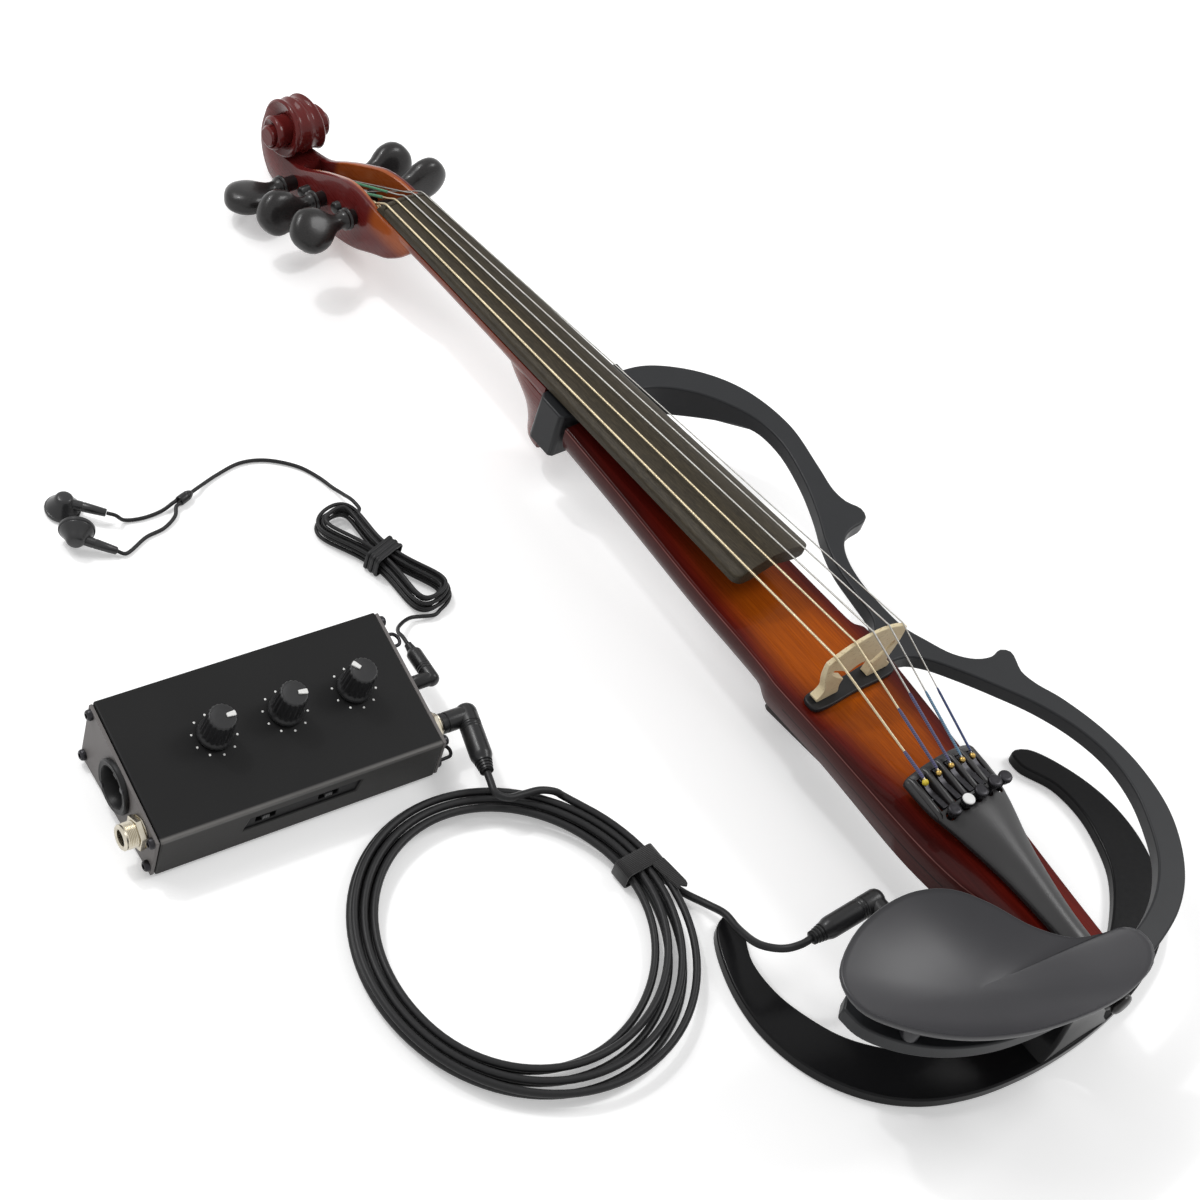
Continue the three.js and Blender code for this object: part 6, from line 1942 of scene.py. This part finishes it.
knob_black = moulded("knob plastic", (30, 30, 31), (42, 42, 43), 0.36, Specular_IOR_Level=0.32)
white_ink = Finish("white ink", tint(228, 228, 226), 0.55)
white_ink.mottle(1800, (236, 236, 234), (206, 206, 203), 0.2, 0.45)
for name, x, turned_by in zip(("bass", "treble", "volume"), KNOB_STATIONS, KNOB_TURNS):
    stand = ON_BOX @ PANEL @ shift(x, KNOB_LINE, 0) @ rotate(turned_by, "Z")
    grip = joined(loft([knob_ring(*level) for level in KNOB_LEVELS]), rod(3, -2.4, 1, 24))
    add_piece(
        f"{name}_knob_grip", grip, stand, knob_black, [f"{name}_knob"], body=f"{name}_knob",
        angle=50,
    )
    pointer = plate(
        [(1.6, -0.85), (5.2, -1.2), (5.6, -0.8), (5.6, 0.8), (5.2, 1.2), (1.6, 0.85)], 15.6, 16.7,
    )
    add_piece(
        f"{name}_knob_pointer", pointer, stand, white_ink, body=f"{name}_knob", soften=0.0002,
    )

DOT_COUNT, DOT_CIRCLE = 10, 9.5
dots = []
for middle in KNOB_STATIONS:
    for k in range(DOT_COUNT):
        t = math.radians(18 + 36 * k)
        x, y = middle + DOT_CIRCLE * math.cos(t), KNOB_LINE + DOT_CIRCLE * math.sin(t)
        dot = turned([(0, -0.05), (0.5, -0.05), (0.5, 0.04), (0.42, 0.08), (0, 0.08)], 16)
        dots.append(moved(dot, PANEL @ shift(x, y, 0)))
add_piece("dial_dots", joined(*dots), ON_BOX, white_ink)

# %% Slide switches
switch_black = moulded("switch plastic", (40, 40, 41), (54, 54, 55), 0.4, Specular_IOR_Level=0.45)
for i, x in enumerate(SWITCHES):
    stem = block(x - 1.7, x + 1.7, -BOX_HALF + 0.5, -BOX_INSIDE + 2.2, 13.6, 15.8)
    bmesh.ops.subdivide_edges(
        stem, edges=[e for e in stem.edges if abs(e.verts[0].co.x - e.verts[1].co.x) > 1], cuts=5
    )
    for vert in stem.verts:
        if vert.co.y < -BOX_HALF + 1 and abs(vert.co.x - x) < 1.6:
            vert.co.y += 0.25 * (round((vert.co.x - x) / 0.57) % 2)
    tab = block(x - 2.6, x + 2.6, -BOX_INSIDE + 1.9, -BOX_INSIDE + 3.4, 12.4, 17)
    add_piece(
        f"slide_{i + 1}", joined(stem, tab), ON_BOX, switch_black, [f"switch_{i + 1}"],
        body=f"switch_{i + 1}", soften=0.0002,
    )

# %% [markdown]
# ## Sockets
#
# The left end has a three-pin balanced socket and a jack, the right end two
# jacks. All are lathe work, so each is one profile spun round its axis: the
# socket's deep cup, the jack's threaded bush with its bore, and the nut, which
# is the same spin with only six steps.

# %% Three-pin socket
face = -END_FACE - 0.3
cup_profile = [
    (0, face + 13), (8.8, face + 13), (8.8, face - 0.9), (9.5, face - 1.9), (10.2, face - 1.7),
    (11.3, face - 2), (11.8, face - 1.7), (12, face - 1.3), (12, face), (10.2, face),
    (10.2, face + 17), (0, face + 17),
]
SOCKET = shift(0, *XLR) @ LENGTHWISE
socket_cup = turned(cup_profile, 64)
key_tab = block(-9, -6.8, -1.4, 1.4, face - 1.2, face + 9)
lugs = [
    moved(
        turned([(0, 0), (1.5, 0), (1.5, 0.35), (1.2, 0.6), (0, 0.6)], 24),
        SOCKET @ shift(10.5 * c, 10.5 * c, face - 1.6) @ rotate(180, "X"),
    )
    for c in (0.7071, -0.7071)
]
add_piece(
    "balanced_socket", joined(socket_cup, key_tab), ON_BOX @ SOCKET, housing, ["xlr_socket"],
)
nickel = Finish("nickel plate", tint(196, 190, 174), 0.28, Metallic=1.0)
nickel.mottle(240, (178, 170, 150), (214, 208, 194), 0.24, 0.16)
PIN_CIRCLE = 4.4
pins = []
for angle in (90, 210, 330):
    t = math.radians(angle)
    pin = turned(
        [
            (0, face + 3.6), (0.7, face + 3.7), (1.1, face + 4.2), (1.2, face + 5),
            (1.2, face + 14), (0, face + 14),
        ],
        20,
    )
    y, z = XLR[0] + PIN_CIRCLE * math.cos(t), XLR[1] + PIN_CIRCLE * math.sin(t)
    pins.append(moved(pin, shift(0, y, z) @ LENGTHWISE))
add_piece("socket_pins", joined(*pins), ON_BOX, nickel)
add_piece("socket_rivets", joined(*lugs), ON_BOX, blued)

# %% Jacks


def jack_bush(reach, depth, bore, bush):
    """Threaded bush with a washer. Heights count out from the end plate's face."""
    inside = -END_THICKNESS - 0.6
    outer = [
        (bore, inside - depth), (5.8, inside - depth), (5.8, inside), (bush, inside), (bush, 0),
        (bush + 1.6, 0), (bush + 1.6, 0.5), (bush, 0.5),
    ]
    height = 0.7
    while height + 0.8 < reach - 0.5:
        outer += [(bush, height), (bush - 0.35, height + 0.35)]
        height += 0.7
    outer += [(bush, reach - 0.7), (bush - 0.6, reach), (bore + 0.5, reach), (bore, reach - 0.5)]
    return turned(outer + outer[:1], 48)


def hex_nut(reach, bush):
    tall = min(3, reach * 0.6)
    ring = [
        (bush - 0.2, 0.5), (bush + 1.5, 0.5), (bush + 1.9, 0.8), (bush + 1.9, tall - 0.3),
        (bush + 1.5, tall), (bush - 0.2, tall),
    ]
    return turned(ring + ring[:1], 6)


JACKS = {  # side, spot, reach, depth, bore, bush
    "line": (-1, LINE_JACK, 9, 20, 3.5, 5.6),
    "input": (1, INPUT_JACK, 4.4, 20, 3.5, 5.6),
    "phones": (1, PHONES_JACK, 1.6, 14, 2.1, 3.6),
}
for name, (side, spot, reach, depth, bore, bush) in JACKS.items():
    stand = ON_BOX @ shift(side * 0.3, 0, 0) @ on_end(side, *spot)
    jack = joined(jack_bush(reach, depth, bore, bush), hex_nut(reach, bush))
    add_piece(
        f"{name}_bush", jack, stand, nickel if name != "phones" else blued, [f"{name}_jack"],
        angle=30,
    )

# %% [markdown]
# ## Inside the box
#
# The circuit board and the battery pack can't be seen from outside, so their
# solids stay as they are and only get a finish: lacquered glass fibre with a
# pattern of tracks, and the printed foil round the cells.

# %% Inside the box
board_green = Finish("circuit board", tint(26, 78, 44), 0.4)
tracks = board_green.node("ShaderNodeTexBrick", None, Vector=board_green.place, Scale=160.0)
board_green.paint(Base_Color=board_green.mix(tracks, tint(22, 66, 38), tint(38, 98, 58)))
board_green.bump(board_green.noise(1200, 2), 0.00005, 0.4)
cell_wrap = Finish("cell wrapper", tint(120, 124, 128), 0.35, Metallic=0.4)
cell_wrap.mottle(400, (104, 108, 112), (150, 152, 154), 0.3, 0.2)
NODES["circuit_board"].data.materials[0] = board_green.material
NODES["battery_pack"].data.materials[0] = cell_wrap.material

# %% [markdown]
# ## Right-angle plugs
#
# Each plug is two tubes that meet in a rounded elbow: a short leg with the
# metal pin, and a long barrel that ends in a ribbed boot. Both are spun
# profiles. The barrel leans as it does in its solid, so that its cord leaves
# in line.

# %% Plugs
plug_black = moulded("plug rubber", (26, 26, 27), (36, 36, 37), 0.3, Specular_IOR_Level=0.3)


def plug_body(leg, radius, barrel, boot, lean):
    leg_profile = [
        (0, -leg), (radius * 0.86, -leg), (radius * 0.94, -leg + 0.5), (radius * 0.94, -leg + 2.2),
        (radius * 0.86, -leg + 2.6), (radius * 0.86, -leg + 3), (radius * 0.94, -leg + 3.4),
        (radius * 0.94, radius * 0.3), (radius * 0.88, radius * 0.52),
        (radius * 0.7, radius * 0.74), (radius * 0.4, radius * 0.84), (0, radius * 0.85),
    ]
    sleeve = [
        (0, -radius), (radius * 0.4, -radius * 0.97), (radius * 0.7, -radius * 0.85),
        (radius * 0.9, -radius * 0.62), (radius, -radius * 0.3), (radius, radius * 1.05),
    ]
    for ridge in range(3):
        start = radius * 1.1 + ridge * 1.3
        sleeve += [(radius * 0.93, start), (radius * 0.93, start + 0.5), (radius, start + 0.8)]
    sleeve += [
        (radius, barrel * 0.70), (radius * 0.97, barrel * 0.74),
        (between(radius, boot * 1.25, 0.6), barrel * 0.79),
    ]
    for ridge in range(4):
        share = 0.82 + ridge * 0.045
        wide = between(boot * 1.3, boot * 1.02, ridge / 3)
        sleeve += [
            (wide, barrel * share), (wide, barrel * (share + 0.018)),
            (wide * 0.86, barrel * (share + 0.024)), (wide * 0.86, barrel * (share + 0.038)),
        ]
    sleeve += [(boot, barrel * 0.995), (boot * 0.9, barrel), (0, barrel)]
    return joined(
        moved(turned(leg_profile, 40), LENGTHWISE),
        moved(turned(sleeve, 40), Vector((0, 0, 1)).rotation_difference(lean).to_matrix().to_4x4()),
    )


def plug_pin(pin, radius, leg):
    """Shaft with its insulating rings and the pointed tip."""
    tip = -pin - leg
    return moved(turned([
        (0, tip), (radius * 0.3, tip + 0.1), (radius * 0.75, tip + 1.6), (radius, tip + 3),
        (radius * 0.62, tip + 4.4), (radius, tip + 5.6), (radius, tip + 8.6),
        (radius * 0.93, tip + 8.7), (radius * 0.93, tip + 9.5), (radius, tip + 9.6),
        (radius, -leg + 0.6), (0, -leg + 0.6),
    ], 32), LENGTHWISE)


PLUG_SHAPES = {  # pin length, pin radius, leg, barrel radius, boot radius
    "violin_plug": (27, 3.1, 17.5, 4.9, 3),
    "box_plug": (22, 3.1, 14, 4.9, 3),
    "phones_plug": (12, 1.7, 12, 3.5, 1.7),
}
for name, (pin, pin_radius, leg, radius, boot) in PLUG_SHAPES.items():
    spot, lean, barrel = PLUGS[name]
    stand = TO_METRES @ spot
    shell = plug_body(leg, radius, barrel, boot, lean)
    add_piece(f"{name}_shell", shell, stand, plug_black, [name])
    add_piece(f"{name}_pin", plug_pin(pin, pin_radius, leg), stand, nickel)

# %% [markdown]
# ## Ties, splitter and earphones
#
# A woven hook-and-loop strap holds the cable coil, and a few turns of thin band
# hold the hank. Each is a flat section carried round the bundle and closed on
# itself. The weave is two waves at right angles, in the colour and in the bump.

# %% Woven strap
strap_cloth = Finish("woven strap", tint(26, 26, 27), 0.9, Sheen_Weight=0.4, Specular_IOR_Level=0.2)
across_threads, along_threads = (
    strap_cloth.node(
        "ShaderNodeTexWave", {"bands_direction": axis}, Vector=strap_cloth.place, Scale=scale,
        Distortion=0.4,
    )
    for axis, scale in (("X", 520.0), ("Y", 430.0))
)
threads = across_threads * along_threads
fuzz = strap_cloth.noise(700, 4)
strap_cloth.paint(
    Base_Color=strap_cloth.mix(threads * 0.6 + fuzz * 0.5, tint(20, 20, 21), tint(46, 45, 45)),
    Roughness=fuzz * 0.15 + 0.8,
)
strap_cloth.bump(threads + fuzz * 0.4, 0.00018, 0.8)


def strap_band(half, low, high, thickness, width):
    """A flat band round a bundle that runs along Y."""
    corner = 1.6
    path = []
    for cx, cz, start in (
        (half - corner, high - corner, 0), (-half + corner, high - corner, 90),
        (-half + corner, low + corner, 180), (half - corner, low + corner, 270),
    ):
        for k in range(7):
            t = math.radians(start + 15 * k)
            path.append((cx, cz, math.cos(t), math.sin(t)))
    rings = []
    for cx, cz, c, s in path:
        grow = corner + thickness
        rings.append([
            Vector((cx + r * c, y, cz + r * s))
            for r, y in (
                (corner, -width / 2), (grow - 0.2, -width / 2), (grow, -width / 2 + 0.4), (grow, 0),
                (grow, width / 2 - 0.4), (grow - 0.2, width / 2), (corner, width / 2), (corner, 0),
            )
        ])
    return loft(rings + rings[:1], closed=True)


COIL_TOP = COIL_FLOOR + 2 * CABLE_RADIUS + COIL_PITCH
HANK_TOP = HANK_FLOOR + 2 * CORD_RADIUS + 3 * HANK_PITCH
tongue = plate(
    [
        (3, -4.3), (9.4, -4.3), (9.8, -8), (10.6, -18), (10.2, -19.6), (9.2, -20.5), (8, -19.6),
        (7.2, -18.8), (6.2, -19.6), (5, -19.4), (4, -12),
    ],
    COIL_TOP + 0.3, COIL_TOP + 1.4,
)
strap = joined(strap_band(9.2, 1.3, COIL_TOP + 0.3, 1.1, 9), tongue)
coil_strap = add_piece(
    "coil_strap", strap, TO_METRES @ shift(-110.3, -8, 0), strap_cloth, ["cable_tie"], angle=50,
    soften=0.0002,
)
hank_place = shift(HANK_X, HANK_Y, 0) @ rotate(HANK_LEAN, "Z")
TIE_TURNS = (-3.0, -1.5, 0, 1.5, 3.0)
turns_of_band = []
for k, place in enumerate(TIE_TURNS):
    wrap = strap_band(8.0 - 0.3 * (k % 2), 0.8, HANK_TOP + 0.3, 0.8 - 0.2 * (k % 2), 1.45)
    turns_of_band.append(moved(wrap, shift(0, place, 0)))
band = joined(*turns_of_band)
hank_band = add_piece(
    "hank_band", band, TO_METRES @ hank_place, jacket, ["hank_tie"], angle=50,
)

# %% Splitter and earphones
splitter_profile = [
    (0, 0), (1.2, 0), (1.4, 0.3), (1.9, 1.3), (2.25, 2.4), (2.3, 3.2), (2.15, 3.4), (2.15, 3.8),
    (2.35, 4), (2.4, 7.4), (2.2, 8), (0, 8),
]
splitter = add_piece(
    "branch_sleeve", turned(splitter_profile, 32), TO_METRES @ SPLITTER @ LENGTHWISE, plug_black,
    ["cord_splitter"], angle=40,
)
ear_black = moulded("earphone plastic", (34, 34, 35), (46, 46, 47), 0.3, Specular_IOR_Level=0.36)
grille = Finish("earphone grille", tint(52, 52, 54), 0.45, Metallic=0.5)
mesh_holes = grille.node(
    "ShaderNodeTexVoronoi", None, Vector=grille.place, Scale=1400.0, Randomness=0.1,
)
holes = mesh_holes.ease(0.25, 0.4)
grille.paint(Base_Color=grille.mix(holes, tint(14, 14, 15), tint(74, 74, 76)))
grille.bump(holes, 0.0002, 0.6)
HOUSING = [
    (0, 0.5), (4.9, 0.5), (5.0, 0.1), (5.9, 0), (7.4, 0.3), (8, 0.9), (8.1, 1.6), (8.05, 2.2),
    (7.7, 2.5), (7.45, 2.55), (7.45, 2.8), (7.3, 3.1), (6.3, 4.4), (5.3, 5.9), (4.5, 7.3),
    (3.9, 8.6), (3.3, 9.3), (2.4, 9.6), (0, 9.6),
]
STEM = [
    (0, 0), (2.3, 0), (2.3, 8), (2.15, 8.2), (2.15, 8.7), (2.25, 8.9), (2.05, 14), (1.8, 18.6),
    (1.6, STEM_END), (0, STEM_END),
]
for i, spot in enumerate(EARPHONES):
    stem = moved(turned(STEM, 32), shift(0, 0, 6) @ LENGTHWISE)
    shell = joined(turned(HOUSING, 48), stem)
    add_piece(
        f"earphone_shell_{i + 1}", shell, TO_METRES @ spot, ear_black, [f"earphone_{i + 1}"],
    )
    disc = turned([(0, 0.2), (2.5, 0.23), (4.6, 0.35), (4.85, 0.6), (0, 0.6)], 40)
    add_piece(f"earphone_grille_{i + 1}", disc, TO_METRES @ spot, grille)

# %% [markdown]
# ## What the cords are
#
# Where each free cord leaves the object and how long it is are worked out
# here. The lengths are measured along the drawn routes.

tuple((cable_line[-1] + MIDDLE) * MM)
length_of(cable_line) * MM
tuple((phones_line[0] + MIDDLE) * MM)
length_of(phones_line) * MM
for branch, line in zip(branches, branch_lines):
    tuple((line[0] + MIDDLE) * MM)
    length_of(line) * MM

# %% [markdown]
# ## Light and floor
#
# The set lies on white paper under two soft boxes and one small lamp that puts
# sparks of light on the polished parts. The world is plain white to the camera
# and in reflections, and gives a weaker, even light to everything else, so
# colours come out as they are written. The paper glows a little for the camera,
# which makes it white and keeps the shadows.

# %% Light and floor
SEEN_BY = ("Is Camera Ray", "Is Glossy Ray", "Is Transmission Ray")
EVEN_LIGHT = 0.5
PAPER_GLOW = 0.3
world = bpy.data.worlds.new("studio")
bpy.context.scene.world = world
world.use_nodes = True
sky = world.node_tree.nodes["Background"]
path = world.node_tree.nodes.new("ShaderNodeLightPath")
sky.inputs["Color"].default_value = (1, 1, 1, 1)
plain = path.outputs[SEEN_BY[0]]
for ray in SEEN_BY[1:]:
    either = world.node_tree.nodes.new("ShaderNodeMath")
    either.operation = "MAXIMUM"
    world.node_tree.links.new(plain, either.inputs[0])
    world.node_tree.links.new(path.outputs[ray], either.inputs[1])
    plain = either.outputs[0]
level = world.node_tree.nodes.new("ShaderNodeMapRange")
level.inputs["To Min"].default_value = EVEN_LIGHT
level.inputs["To Max"].default_value = 1.0
world.node_tree.links.new(plain, level.inputs["Value"])
world.node_tree.links.new(level.outputs[0], sky.inputs["Strength"])


def add_lamp(name, spot, size, watts):
    """A soft box that faces the middle of the set."""
    data = bpy.data.lights.new(name, "AREA")
    data.shape = "RECTANGLE"
    data.size, data.size_y = size
    data.energy = watts
    lamp = bpy.data.objects.new(name, data)
    facing = Vector(spot).to_track_quat("Z", "Y").to_matrix().to_4x4()
    lamp.matrix_world = Matrix.Translation(spot) @ facing
    bpy.context.scene.collection.objects.link(lamp)


add_lamp("key", (-0.5, 1.1, 1.5), (1.2, 0.8), 14)
add_lamp("spark", (-0.42, 1.0, 1.62), (0.12, 0.1), 6)
add_lamp("fill", (1.25, -0.35, 1.45), (0.6, 0.6), 10)

bpy.ops.mesh.primitive_plane_add(size=8, location=(0, 0, -0.0002))
floor = bpy.context.object
floor.name = "floor"
paper = Finish("paper", (0.9, 0.9, 0.9), 0.9, Specular_IOR_Level=0.0, Emission_Color=(1, 1, 1, 1))
rays = paper.tree.nodes.new("ShaderNodeLightPath")
seen = [Signal(paper, rays.outputs[ray]) for ray in SEEN_BY]
paper.paint(Emission_Strength=(seen[0] + seen[1] + seen[2]) * PAPER_GLOW)
floor.data.materials.append(paper.material)
bpy.context.scene.view_settings.view_transform = "Standard"
